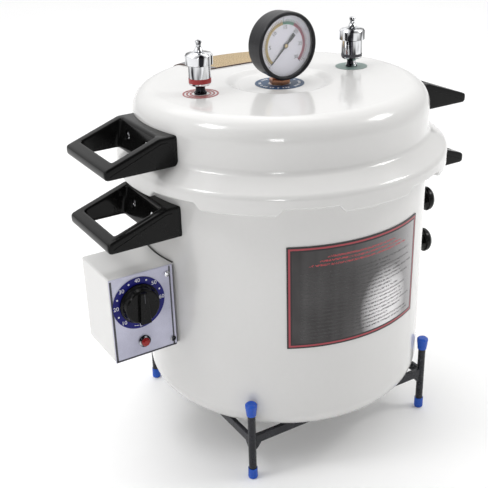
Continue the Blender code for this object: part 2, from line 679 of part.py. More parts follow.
def basket():
    floor = RACK_HIGH + GAP
    wall = 0.0015
    body = turned("basket", [(0, floor), (BASKET_RADIUS - 0.006, floor), (BASKET_RADIUS, floor + 0.006),
                             (BASKET_RADIUS, BASKET_HIGH - 0.003), (BASKET_RADIUS + 0.0025, BASKET_HIGH),
                             (BASKET_RADIUS - wall, BASKET_HIGH), (BASKET_RADIUS - wall, floor + 0.007),
                             (BASKET_RADIUS - 0.007, floor + wall), (0, floor + wall)], "aluminium", 36)
    for index in range(6):
        angle = 2 * math.pi * index / 6
        spot = (0.070 * math.cos(angle), 0.070 * math.sin(angle))
        cut(body, rod(f"basket_hole_{index}", (*spot, 0.08), (*spot, 0.09), 0.0080, sides=10))


# ---------------------------------------------------------------- stand

def stand():
    """Four rods joined by four bars under the pot, with vinyl caps on every end."""
    corners = [(-1, -1), (1, -1), (1, 1), (-1, 1)]
    frame = rod("stand", (-LEG_SPREAD, -LEG_SPREAD, LEG_LOW), (-LEG_SPREAD, -LEG_SPREAD, LEG_HIGH),
                LEG_RADIUS, "black_paint", 12)
    for number, (sx, sy) in enumerate(corners[1:], start=2):
        x, y = sx * LEG_SPREAD, sy * LEG_SPREAD
        weld(frame, rod(f"stand_leg_{number}", (x, y, LEG_LOW), (x, y, LEG_HIGH), LEG_RADIUS, sides=12))
    for number, side in enumerate((-1, 1)):
        edge = side * LEG_SPREAD
        weld(frame, block(f"stand_bar_x_{number}", (-LEG_SPREAD, edge - BAR_HALF, BAR_LOW),
                          (LEG_SPREAD, edge + BAR_HALF, BAR_HIGH), "steel"))
    for number, side in enumerate((-1, 1)):
        edge = side * LEG_SPREAD
        weld(frame, block(f"stand_bar_y_{number}", (edge - BAR_HALF, -LEG_SPREAD, BAR_LOW + 0.0001),
                          (edge + BAR_HALF, LEG_SPREAD, BAR_HIGH - 0.0001), "steel"))
    for number, (sx, sy) in enumerate(corners, start=1):
        x, y = sx * LEG_SPREAD, sy * LEG_SPREAD
        gusset = [(0.002, BAR_LOW + 0.001), (0.011, BAR_LOW + 0.001), (0.0045, BAR_LOW - 0.007),
                  (0.002, BAR_LOW - 0.007)]
        outline = [(x - sx * reach, z) for reach, z in gusset]
        weld(frame, prism(f"stand_gusset_{number}", outline, y - 0.0015, y + 0.0015, "steel", axis="Y"))
        turned(f"foot_cap_{number}", [(0, 0), (0.0044, 0), (0.0050, 0.0015), (0.0048, 0.0120),
                                      (LEG_RADIUS + GAP, 0.0120), (LEG_RADIUS + GAP, 0.0019), (0, 0.0019)],
               "blue_vinyl", 12, place=(x, y, 0))
        turned(f"top_cap_{number}", [(0, 0.0140), (0.0045, 0.0140), (0.0058, 0.0128), (0.0061, 0.0105),
                                     (0.0049, 0.0), (LEG_RADIUS + GAP, 0.0), (LEG_RADIUS + GAP, 0.0118),
                                     (0, 0.0118)], "blue_vinyl", 12, place=(x, y, 0.0765))


def main():
    clear_scene()
    pot()
    pegs()
    instruction_plate()
    handles()
    lid()
    lid_gasket()
    name_plate()
    gauge()
    valve("left", -VALVE_X)
    valve("right", VALVE_X)
    timer_box()
    heater()
    rack()
    basket()
    stand()


main()
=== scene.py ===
"""Looks for the benchtop autoclave: fine meshes, printed details, materials, floor, lights and camera.

Metres, +Z up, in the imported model's frame. The gauge, the dial and the plate face -Y.
"""
import json
import math

import bmesh
import bpy
from mathutils import Matrix, Vector


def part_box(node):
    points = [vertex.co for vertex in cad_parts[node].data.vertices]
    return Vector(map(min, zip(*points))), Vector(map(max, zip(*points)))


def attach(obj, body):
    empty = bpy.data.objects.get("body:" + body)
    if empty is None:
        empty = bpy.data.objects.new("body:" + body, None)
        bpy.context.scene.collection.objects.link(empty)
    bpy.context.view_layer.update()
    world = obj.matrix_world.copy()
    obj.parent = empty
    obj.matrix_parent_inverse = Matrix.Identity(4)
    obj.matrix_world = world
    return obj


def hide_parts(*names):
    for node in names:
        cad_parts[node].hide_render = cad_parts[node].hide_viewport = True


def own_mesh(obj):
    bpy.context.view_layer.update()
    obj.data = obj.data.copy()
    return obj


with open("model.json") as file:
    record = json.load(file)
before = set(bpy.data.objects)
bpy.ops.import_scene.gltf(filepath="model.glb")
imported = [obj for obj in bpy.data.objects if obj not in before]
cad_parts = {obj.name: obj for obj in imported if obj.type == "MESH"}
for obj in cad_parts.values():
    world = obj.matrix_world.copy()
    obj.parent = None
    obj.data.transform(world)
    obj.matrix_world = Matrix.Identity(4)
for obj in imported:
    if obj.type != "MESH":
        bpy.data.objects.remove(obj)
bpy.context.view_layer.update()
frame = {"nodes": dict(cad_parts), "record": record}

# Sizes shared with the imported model
POT_RADIUS, POT_WALL, POT_FILLET = 0.1505, 0.0035, 0.024
LUG_REACH, LUG_LOW, LUG_HIGH, LUG_ANGLE = 0.1600, 0.3002, 0.3058, 16.5
LID_RADIUS, LID_WALL, SHOULDER = 0.1500, 0.0035, 0.022
RECESS_RADIUS, RECESS_DEPTH, STEM_HOLE = 0.045, 0.0040, 0.0064
FLANGE_RADIUS, FLANGE_LINE, FLANGE_SLOPE = 0.1697, 0.3270, 35.0
HOOK_REACH, HOOK_THICK, NOTCH_HIGH, LAND_HIGH = 0.1535, 0.0036, 0.3016, 0.3195
LOBES, LOBE_ANGLE, LOBE_TURN = 8, 26.0, -1.8
HANDLE_HALF, ARM_WIDTH, GRIP_WIDTH, HANDLE_BASE = 0.0468, 0.0095, 0.0115, 0.0090

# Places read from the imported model
POT_BOTTOM, RIM_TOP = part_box("pot")[0].z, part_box("pot")[1].z
SKIRT_LOW, LID_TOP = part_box("lid")[0].z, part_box("lid")[1].z


def middle(node):
    low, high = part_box(node)
    return (low + high) / 2


# ---------------------------------------------------------------- materials

class Shader:
    """A Principled material with short calls for the nodes that drive it."""

    def __init__(self, name):
        self.material = bpy.data.materials.new(name)
        self.material.use_nodes = True
        self.tree = self.material.node_tree
        self.main = self.tree.nodes["Principled BSDF"]
        self.coordinates = self.tree.nodes.new("ShaderNodeTexCoord")

    def put(self, socket, value):
        """Links a node's output to a socket, or sets the socket to a plain value."""
        if isinstance(value, bpy.types.NodeSocket):
            self.tree.links.new(value, socket)
        elif isinstance(value, tuple) and len(value) == 3 and socket.type == "RGBA":
            socket.default_value = (*value, 1.0)
        else:
            socket.default_value = value

    def set(self, **values):
        """Sets Principled sockets, named with underscores for spaces."""
        for name, value in values.items():
            self.put(self.main.inputs[name.replace("_", " ")], value)
        return self

    def calc(self, operation, *values, clamp=False):
        node = self.tree.nodes.new("ShaderNodeMath")
        node.operation = operation
        node.use_clamp = clamp
        for index, value in enumerate(values):
            self.put(node.inputs[index], value)
        return node.outputs[0]

    def ramp(self, value, low, high, out_low=0.0, out_high=1.0):
        node = self.tree.nodes.new("ShaderNodeMapRange")
        for index, number in enumerate((value, low, high, out_low, out_high)):
            self.put(node.inputs[index], number)
        return node.outputs[0]

    def blend(self, factor, first, second):
        node = self.tree.nodes.new("ShaderNodeMix")
        node.data_type = "RGBA"
        self.put(node.inputs[0], factor)
        self.put(node.inputs[6], first)
        self.put(node.inputs[7], second)
        return node.outputs[2]

    def stretched(self, scale):
        node = self.tree.nodes.new("ShaderNodeMapping")
        self.tree.links.new(self.coordinates.outputs["Object"], node.inputs[0])
        node.inputs["Scale"].default_value = scale
        return node.outputs[0]

    def noise(self, scale, detail=3.0, vector=None):
        node = self.tree.nodes.new("ShaderNodeTexNoise")
        self.put(node.inputs["Vector"], vector or self.coordinates.outputs["Object"])
        node.inputs["Scale"].default_value = scale
        node.inputs["Detail"].default_value = detail
        return node.outputs[0]

    def split(self, output):
        node = self.tree.nodes.new("ShaderNodeSeparateXYZ")
        self.tree.links.new(self.coordinates.outputs[output], node.inputs[0])
        return node.outputs

    def bump(self, height, strength, distance=0.001):
        node = self.tree.nodes.new("ShaderNodeBump")
        node.inputs["Strength"].default_value = strength
        node.inputs["Distance"].default_value = distance
        self.tree.links.new(height, node.inputs["Height"])
        self.tree.links.new(node.outputs[0], self.main.inputs["Normal"])
        return self


def surface(name, dark, light, rough, patch=18.0, grain=400.0, relief=0.03, stretch=None, **sockets):
    """A material whose colour and roughness drift between two values, with a fine relief."""
    made = Shader(name)
    vector = made.stretched(stretch) if stretch else None
    drift = made.ramp(made.noise(patch), 0.35, 0.65)
    fine = made.noise(grain, 2.0, vector)
    mixed = made.calc("MULTIPLY_ADD", fine, 0.5, made.calc("MULTIPLY", drift, 0.5))
    made.set(Base_Color=made.blend(mixed, dark, light), Roughness=made.ramp(mixed, 0.0, 1.0, *rough))
    made.set(**sockets)
    made.bump(fine, relief)
    return made.material


def make_materials():
    made = {}
    made["white_enamel"] = surface("white_enamel", (0.655, 0.650, 0.640), (0.685, 0.680, 0.672), (0.14, 0.20),
                                   9.0, 260.0, 0.012, Coat_Weight=0.35, Coat_Roughness=0.05)
    made["black_bakelite"] = surface("black_bakelite", (0.003, 0.003, 0.003), (0.006, 0.006, 0.006),
                                     (0.09, 0.14), 30.0, 900.0, 0.02, Specular_IOR_Level=0.15)
    made["black_paint"] = surface("black_paint", (0.006, 0.006, 0.008), (0.012, 0.012, 0.015),
                                  (0.26, 0.36), 40.0, 1200.0, 0.08, Specular_IOR_Level=0.28)
    made["blued_steel"] = surface("blued_steel", (0.004, 0.004, 0.007), (0.014, 0.015, 0.022),
                                  (0.16, 0.34), 60.0, 500.0, 0.15, Specular_IOR_Level=0.35)
    made["bright_chrome"] = chrome_material()
    made["tube_steel"] = surface("tube_steel", (0.42, 0.41, 0.40), (0.60, 0.59, 0.58), (0.25, 0.42),
                                 35.0, 600.0, 0.06, Metallic=1.0)
    made["plain_aluminium"] = surface("plain_aluminium", (0.66, 0.66, 0.67), (0.74, 0.74, 0.75),
                                      (0.28, 0.42), 14.0, 300.0, 0.05, (1.0, 1.0, 12.0), Metallic=1.0)
    made["copper_nut"] = surface("copper_nut", (0.38, 0.17, 0.10), (0.56, 0.28, 0.17), (0.25, 0.42), 60.0,
                                 500.0, 0.08, Metallic=1.0)
    made["plain_brass"] = surface("plain_brass", (0.56, 0.42, 0.20), (0.68, 0.53, 0.27), (0.25, 0.38), 50.0,
                                  600.0, 0.05, Metallic=1.0)
    made["blue_vinyl"] = surface("blue_vinyl", (0.004, 0.060, 0.40), (0.008, 0.095, 0.54), (0.18, 0.30),
                                 60.0, 500.0, 0.05, Specular_IOR_Level=0.4)
    made["pale_rubber"] = surface("pale_rubber", (0.60, 0.60, 0.57), (0.68, 0.68, 0.65), (0.55, 0.70), 25.0,
                                  800.0, 0.10)
    made["black_rubber"] = surface("black_rubber", (0.012, 0.012, 0.012), (0.022, 0.022, 0.022),
                                   (0.45, 0.60), 25.0, 900.0, 0.12)
    made["white_ceramic"] = surface("white_ceramic", (0.70, 0.68, 0.62), (0.78, 0.76, 0.70), (0.35, 0.50),
                                    40.0, 500.0, 0.05)
    made["silver_panel"] = surface("silver_panel", (0.34, 0.34, 0.44), (0.70, 0.70, 0.84), (0.28, 0.50),
                                   20.0, 1500.0, 0.10, Metallic=0.3)
    made["white_dial"] = surface("white_dial", (0.84, 0.83, 0.92), (0.88, 0.87, 0.95), (0.35, 0.50), 40.0,
                                 900.0, 0.02)
    made["blue_dial"] = surface("blue_dial", (0.006, 0.006, 0.130), (0.010, 0.010, 0.180), (0.30, 0.42), 50.0,
                                700.0, 0.02, Specular_IOR_Level=0.22)
    made["red_lens"] = surface("red_lens", (0.22, 0.004, 0.004), (0.36, 0.008, 0.008), (0.08, 0.16), 90.0,
                               600.0, 0.05, Specular_IOR_Level=0.4)
    made["clear_glass"] = surface("clear_glass", (0.95, 0.96, 0.98), (0.98, 0.99, 1.0), (0.01, 0.03), 30.0,
                                  300.0, 0.002, Alpha=0.10)
    made["white_print"] = surface("white_print", (0.78, 0.78, 0.80), (0.84, 0.84, 0.86), (0.35, 0.45), 60.0,
                                  900.0, 0.02)
    made["dark_print"] = surface("dark_print", (0.03, 0.03, 0.04), (0.06, 0.06, 0.07), (0.40, 0.50), 60.0,
                                 900.0, 0.02)
    made["red_print"] = surface("red_print", (0.28, 0.012, 0.014), (0.38, 0.022, 0.025), (0.25, 0.38), 60.0,
                                900.0, 0.02)
    made["yellow_print"] = surface("yellow_print", (0.42, 0.29, 0.05), (0.52, 0.37, 0.08), (0.40, 0.50),
                                   60.0, 900.0, 0.02)
    made["green_print"] = surface("green_print", (0.02, 0.20, 0.11), (0.04, 0.27, 0.16), (0.40, 0.50), 60.0,
                                  900.0, 0.02)
    made["crimson_print"] = surface("crimson_print", (0.26, 0.012, 0.05), (0.34, 0.02, 0.07), (0.40, 0.50),
                                    60.0, 900.0, 0.02)
    made["teal_sticker"] = surface("teal_sticker", (0.004, 0.040, 0.110), (0.008, 0.065, 0.160),
                                   (0.30, 0.42), 40.0, 700.0, 0.02, Specular_IOR_Level=0.2)
    made["grey_sticker"] = surface("grey_sticker", (0.14, 0.21, 0.19), (0.22, 0.29, 0.27), (0.30, 0.42),
                                   40.0, 700.0, 0.02, Specular_IOR_Level=0.2)
    made["tan_plate"] = tan_material()
    made["mirror_plate"] = plate_material()
    return made


def chrome_material():
    """Polished chrome for plated turned parts, with dark and bright upright streaks of painted reflection in its base
    colour.
    """
    made = Shader("bright_chrome")
    painted_reflection_streak = made.noise(150.0, 1.0, made.stretched((1.0, 1.0, 0.2)))
    # painted reflection: the dark and bright upright streaks are blended into the base colour
    made.set(Base_Color=made.blend(made.ramp(painted_reflection_streak, 0.40, 0.54), (0.022, 0.022, 0.026), (0.84, 0.85, 0.87)),
             Roughness=made.ramp(painted_reflection_streak, 0.3, 0.7, 0.04, 0.07), Metallic=1.0)
    return made.material


def tan_material():
    """Gilt foil with brown edges and a dark grey end; the UV map runs from 0 to 1 both ways."""
    made = Shader("tan_plate")
    u, v = made.split("UV")[:2]
    grain = made.noise(500.0, 2.0, made.stretched((1.0, 6.0, 1.0)))
    drift = made.ramp(made.noise(22.0), 0.3, 0.7)
    colour = made.blend(made.calc("MULTIPLY_ADD", grain, 0.4, made.calc("MULTIPLY", drift, 0.6)),
                        (0.36, 0.24, 0.085), (0.50, 0.34, 0.13))
    colour = made.blend(made.calc("LESS_THAN", u, 0.14), colour, (0.13, 0.13, 0.14))
    side = made.calc("MINIMUM", u, made.calc("SUBTRACT", 1.0, u))
    end = made.calc("MINIMUM", v, made.calc("SUBTRACT", 1.0, v))
    edge = made.calc("MINIMUM", made.calc("MULTIPLY", side, 1.6), end)
    colour = made.blend(made.calc("LESS_THAN", edge, 0.022), colour, (0.09, 0.035, 0.020))
    made.set(Base_Color=colour, Roughness=made.ramp(grain, 0.3, 0.7, 0.22, 0.34), Metallic=0.55)
    made.bump(grain, 0.04)
    return made.material


def plate_material():
    """Polished plate with a black, red and black border and rows of small marks that spell nothing. Its metal colour
    holds a painted reflection, dark at the left and lighter to the right, and a painted highlight low on the right.

    The UV map is in metres from the plate's lower left corner."""
    made = Shader("mirror_plate")
    u, v = made.split("UV")[:2]
    from_side = made.calc("MINIMUM", u, made.calc("SUBTRACT", PLATE_LENGTH, u))
    from_end = made.calc("MINIMUM", v, made.calc("SUBTRACT", PLATE_HEIGHT, v))
    edge = made.calc("MINIMUM", from_side, from_end)
    border = made.calc("LESS_THAN", edge, 0.0050)
    red = made.calc("MULTIPLY", made.calc("GREATER_THAN", edge, 0.0016), made.calc("LESS_THAN", edge, 0.0034))
    pitch = 0.00405
    row = made.calc("FLOOR", made.calc("DIVIDE", v, pitch))
    inside = made.calc("LESS_THAN", made.calc("ABSOLUTE", made.calc("SUBTRACT", made.calc("FRACT", made.calc(
        "DIVIDE", v, pitch)), 0.5)), 0.24)
    join = made.tree.nodes.new("ShaderNodeCombineXYZ")
    made.put(join.inputs[0], made.calc("MULTIPLY", u, 900.0))
    made.put(join.inputs[1], made.calc("MULTIPLY", row, 7.3))
    made.put(join.inputs[2], made.calc("MULTIPLY", v, 900.0))
    strokes = made.calc("GREATER_THAN", made.noise(1.0, 1.0, join.outputs[0]), 0.47)
    chance = made.tree.nodes.new("ShaderNodeTexWhiteNoise")
    chance.noise_dimensions = "1D"
    made.put(chance.inputs["W"], row)
    right_end = made.ramp(chance.outputs["Value"], 0.0, 1.0, PLATE_LENGTH * 0.70, PLATE_LENGTH * 0.95)
    in_text = made.calc("MULTIPLY", made.calc("GREATER_THAN", u, 0.0125), made.calc("LESS_THAN", u, right_end))
    in_rows = made.calc("MULTIPLY", made.calc("GREATER_THAN", v, 0.009), made.calc("LESS_THAN", v, 0.0815))
    marks = made.calc("MULTIPLY", made.calc("MULTIPLY", strokes, inside), made.calc("MULTIPLY", in_text, in_rows))
    centre = made.calc("ABSOLUTE", made.calc("SUBTRACT", u, PLATE_LENGTH * 0.5))
    head_rows = made.calc("MULTIPLY", made.calc("GREATER_THAN", v, 0.0855), made.calc("LESS_THAN", v, 0.0975))
    head_wide = made.ramp(v, 0.0850, 0.0980, 0.0600, 0.0330)
    heading = made.calc("MULTIPLY", made.calc("MULTIPLY", strokes, inside), made.calc(
        "MULTIPLY", head_rows, made.calc("LESS_THAN", centre, head_wide)))
    grain = made.noise(90.0, 2.0, made.stretched((1.0, 1.0, 0.05)))
    cloud = made.ramp(made.noise(12.0), 0.3, 0.7)
    # painted reflection: the metal is painted darker at the left and lighter towards the right
    across = made.ramp(u, 0.01, PLATE_LENGTH)
    # painted highlight: a bright round patch low on the right of the plate
    highlight_u = made.calc("DIVIDE", made.calc("SUBTRACT", u, PLATE_LENGTH * 0.68), 0.026)
    highlight_v = made.calc("DIVIDE", made.calc("SUBTRACT", v, PLATE_HEIGHT * 0.24), 0.036)
    far = made.calc("ADD", made.calc("MULTIPLY", highlight_u, highlight_u), made.calc("MULTIPLY", highlight_v, highlight_v))
    painted_highlight = made.calc("MULTIPLY", made.ramp(far, 0.0, 1.6, 0.85, 0.0), made.calc("GREATER_THAN", 1.6, far))
    # random cloud and grain tone, plus the painted reflection ramp and the painted highlight
    tone_and_painted_reflection = made.calc("MULTIPLY_ADD", cloud, 0.07, made.calc("MULTIPLY_ADD", grain, 0.07, made.calc(
        "MULTIPLY_ADD", made.calc("POWER", across, 2.8), 0.50, painted_highlight)), clamp=True)
    metal_and_painted_reflection = made.blend(tone_and_painted_reflection, (0.018, 0.016, 0.016), (0.66, 0.65, 0.66))
    colour = made.blend(made.calc("MULTIPLY", marks, 0.75), metal_and_painted_reflection, (0.03, 0.03, 0.03))
    colour = made.blend(made.calc("MULTIPLY", heading, 0.85), colour, (0.42, 0.04, 0.05))
    colour = made.blend(border, colour, (0.012, 0.008, 0.010))
    colour = made.blend(red, colour, (0.36, 0.045, 0.06))
    printed = made.calc("MAXIMUM", made.calc("MAXIMUM", marks, heading), border)
    made.set(Base_Color=colour, Metallic=made.ramp(printed, 0.0, 1.0, 1.0, 0.1),
             Roughness=made.ramp(made.calc("MAXIMUM", printed, grain), 0.3, 1.0, 0.14, 0.34))
    made.bump(grain, 0.03)
    return made.material


PLATE_LOW, PLATE_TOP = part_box("instruction_plate")[0].z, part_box("instruction_plate")[1].z
PLATE_HEIGHT = PLATE_TOP - PLATE_LOW
PLATE_FROM, PLATE_TO = -121.8, -62.4
PLATE_LENGTH = (POT_RADIUS + 0.0006) * math.radians(PLATE_TO - PLATE_FROM)
MATERIALS = make_materials()


# ---------------------------------------------------------------- mesh helpers

def arc(cx, cy, radius, start, end, steps):
    points = []
    for step in range(steps + 1):
        angle = math.radians(start + (end - start) * step / steps)
        points.append((cx + radius * math.cos(angle), cy + radius * math.sin(angle)))
    return points


def rounded(points, steps=4, closed=True):
    """The outline with its corners turned into arcs; a point is (a, b) or (a, b, corner radius)."""
    made = []
    count = len(points)
    for index, point in enumerate(points):
        here = Vector(point[:2])
        if len(point) < 3 or (not closed and index in (0, count - 1)):
            made.append(tuple(here))
            continue
        before = Vector(points[index - 1][:2]) - here
        after = Vector(points[(index + 1) % count][:2]) - here
        half = before.angle(after) / 2
        if half > math.radians(88):
            made.append(tuple(here))
            continue
        reach = min(point[2] / math.tan(half), 0.48 * before.length, 0.48 * after.length)
        radius = reach * math.tan(half)
        centre = here + (before.normalized() + after.normalized()).normalized() * radius / math.sin(half)
        start = here + before.normalized() * reach - centre
        turn = start.angle_signed(here + after.normalized() * reach - centre)
        for step in range(steps + 1):
            part = -turn * step / steps
            made.append((centre.x + start.x * math.cos(part) - start.y * math.sin(part),
                         centre.y + start.x * math.sin(part) + start.y * math.cos(part)))
    return made


def facing_front(place):
    """Local Z to the front (-Y), local Y up."""
    return Matrix.Translation(place) @ Matrix.Rotation(math.pi / 2, 4, "X")


def ring_mesh(bm, rows, wrap=True):
    """Quads between the rows of points; a row of one point is a pole."""
    made = [[bm.verts.new(p) for p in row] for row in rows]
    pairs = list(zip(made, made[1:] + made[:1])) if wrap else list(zip(made, made[1:]))
    for lower, upper in pairs:
        if len(lower) == 1 and len(upper) == 1:
            continue
        for index in range(max(len(lower), len(upper))):
            after = (index + 1) % max(len(lower), len(upper))
            if len(lower) == 1:
                bm.faces.new((lower[0], upper[index], upper[after]))
            elif len(upper) == 1:
                bm.faces.new((lower[index], lower[after], upper[0]))
            else:
                bm.faces.new((lower[index], lower[after], upper[after], upper[index]))
    return made


def turned(profile, sides=64, bm=None):
    """Turns a closed profile of (radius, height) about Z."""
    bm = bm or bmesh.new()
    rows = []
    for radius, height in profile:
        if radius < 1e-7:
            rows.append([(0, 0, height)])
            continue
        rows.append([(radius * math.cos(2 * math.pi * i / sides), radius * math.sin(2 * math.pi * i / sides),
                      height) for i in range(sides)])
    ring_mesh(bm, rows)
    return bm


def prism(outline, low, high, bm=None, axis="Z"):
    """Extrudes an outline along Z, or along Y with the outline in X and Z."""
    bm = bm or bmesh.new()
    ends = []
    for level in (low, high):
        ends.append([bm.verts.new((a, b, level) if axis == "Z" else (a, level, b)) for a, b in outline])
    bm.faces.new(ends[0])
    bm.faces.new(ends[1])
    for index in range(len(outline)):
        after = (index + 1) % len(outline)
        bm.faces.new((ends[0][index], ends[0][after], ends[1][after], ends[1][index]))
    return bm


def box(low, high, bm=None):
    return prism([(low[0], low[1]), (high[0], low[1]), (high[0], high[1]), (low[0], high[1])],
                 low[2], high[2], bm)


def tube(points, radius, sides=12, bm=None):
    """A round bar along points, with closed ends."""
    bm = bm or bmesh.new()
    points = [Vector(p) for p in points]
    across = None
    rows = []
    for index, point in enumerate(points):
        ahead = (points[min(index + 1, len(points) - 1)] - points[max(index - 1, 0)]).normalized()
        across = across or ahead.orthogonal().normalized()
        across = (across - ahead * across.dot(ahead)).normalized()
        side = ahead.cross(across)
        rows.append([point + (across * math.cos(2 * math.pi * i / sides) + side * math.sin(
            2 * math.pi * i / sides)) * radius for i in range(sides)])
    made = ring_mesh(bm, rows, wrap=False)
    bm.faces.new(made[0])
    bm.faces.new(made[-1])
    return bm


def loose(name, bm, place=None):
    """An object from a bmesh, not yet part of the model."""
    if place is not None:
        bm.transform(place)
    bmesh.ops.recalc_face_normals(bm, faces=bm.faces)
    mesh = bpy.data.meshes.new(name)
    bm.to_mesh(mesh)
    bm.free()
    made = bpy.data.objects.new(name, mesh)
    bpy.context.scene.collection.objects.link(made)
    return made


def settled(made):
    """Applies an object's modifiers."""
    graph = bpy.context.evaluated_depsgraph_get()
    graph.update()
    mesh = bpy.data.meshes.new_from_object(made.evaluated_get(graph))
    made.modifiers.clear()
    made.data = mesh
    return made


def bevelled(made, width, segments=3, angle=32):
    step = made.modifiers.new("bevel", "BEVEL")
    step.width = width
    step.segments = segments
    step.limit_method = "ANGLE"
    step.angle_limit = math.radians(angle)
    return settled(made)


def softened(made, voxel=0.0011, rounds=16):
    """Rounds every edge of a solid, as moulded plastic has."""
    step = made.modifiers.new("remesh", "REMESH")
    step.mode = "VOXEL"
    step.voxel_size = voxel
    settled(made)
    step = made.modifiers.new("smooth", "SMOOTH")
    step.factor = 0.5
    step.iterations = rounds
    return settled(made)


def carved(made, *tools, operation="DIFFERENCE"):
    """Cuts tools out of an object, or joins them on, and removes the tools."""
    for tool in tools:
        step = made.modifiers.new("carve", "BOOLEAN")
        step.object = tool
        step.operation = operation
        step.solver = "EXACT"
        settled(made)
        bpy.data.objects.remove(tool, do_unlink=True)
    return made


def piece(made, body, slot, *nodes, look=None, angle=38, weighted=True):
    """Gives a finished mesh its material and normals, and puts it on its body in place of CAD nodes."""
    mesh = made.data
    mesh.materials.clear()
    mesh.materials.append(MATERIALS[look or slot])
    mesh.shade_smooth()
    mesh.set_sharp_from_angle(angle=math.radians(angle))
    if weighted:
        step = made.modifiers.new("normals", "WEIGHTED_NORMAL")
        step.keep_sharp = True
    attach(made, body)
    if nodes:
        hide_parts(*nodes)
    return made


def lathe_piece(name, profile, body, slot, *nodes, sides=64, place=None, **more):
    return piece(loose(name, turned(profile, sides), place), body, slot, *nodes, **more)


# ---------------------------------------------------------------- pot and lid

def pot_and_plates():
    inner, floor, small = POT_RADIUS - POT_WALL, POT_BOTTOM + POT_WALL, POT_FILLET - POT_WALL
    profile = [(0, POT_BOTTOM), *arc(POT_RADIUS - POT_FILLET, POT_BOTTOM + POT_FILLET, POT_FILLET, -90, 0, 14),
               *rounded([(POT_RADIUS, LUG_LOW), (POT_RADIUS, RIM_TOP, 0.0013), (inner, RIM_TOP, 0.0013),
                         (inner, floor + small)], 4, closed=False)[:-1],
               *arc(inner - small, floor + small, small, 0, -90, 10), (0, floor)]
    bm = turned(profile, 192)
    for index in range(LOBES):
        at = 360 / LOBES * index + 22.5 + LOBE_TURN
        outline = rounded([(*p, 0.003) if n in (6, 13) else p for n, p in enumerate(
            arc(0, 0, POT_RADIUS - 0.001, at + LUG_ANGLE / 2, at - LUG_ANGLE / 2, 6)
            + arc(0, 0, LUG_REACH, at - LUG_ANGLE / 2, at + LUG_ANGLE / 2, 6))], 4)
        prism(outline, LUG_LOW, LUG_HIGH, bm)
    piece(loose("pot_shell", bm), "pot", "white_enamel", "pot")
    columns, rows = 96, []
    radius = POT_RADIUS + 0.0003
    bm = bmesh.new()
    for level, lift in ((PLATE_LOW, 0), (PLATE_LOW, 0.0006), (PLATE_TOP, 0.0006), (PLATE_TOP, 0)):
        rows.append([bm.verts.new((*p, level)) for p in arc(0, 0, radius + lift, PLATE_FROM, PLATE_TO, columns)])
    for lower, upper in zip(rows, rows[1:] + rows[:1]):
        for index in range(columns):
            bm.faces.new((lower[index], lower[index + 1], upper[index + 1], upper[index]))
    for end in (0, columns):
        bm.faces.new([row[end] for row in rows])
    layer = bm.loops.layers.uv.new("plate")
    for face in bm.faces:
        for loop in face.loops:
            turn = math.degrees(math.atan2(loop.vert.co.y, loop.vert.co.x)) - PLATE_FROM
            along = PLATE_LENGTH * turn / (PLATE_TO - PLATE_FROM)
            loop[layer].uv = (along, loop.vert.co.z - PLATE_LOW)
    piece(loose("instruction_plate_sheet", bm), "pot", "mirror_plate", "instruction_plate")
    for word in ("upper", "lower"):
        peg(f"side_peg_{word}")


def peg(node):
    low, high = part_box(node)
    centre = (low + high) / 2
    lay = Matrix.Rotation(math.radians(-15), 4, "Z") @ Matrix.Rotation(math.pi / 2, 4, "Y")
    foot = POT_RADIUS + 0.0005
    profile = rounded([(0, 0), (0.0075, 0, 0.0005), (0.0060, 0.0060, 0.003), (0.0060, 0.0180, 0.0006),
                       (0.0130, 0.0190, 0.0010), (0.0140, 0.0205, 0.0012), (0.0132, 0.0245, 0.003),
                       (0.0100, 0.0280, 0.006), (0, 0.0292)], 5)
    place = Matrix.Translation((0, 0, centre.z)) @ lay @ Matrix.Translation((0, 0, foot))
    lathe_piece(f"{node}_knob", profile, "pot", "black_bakelite", node, sides=48, place=place)


def smooth_step(part):
    part = min(max(part, 0.0), 1.0)
    return part * part * (3 - 2 * part)


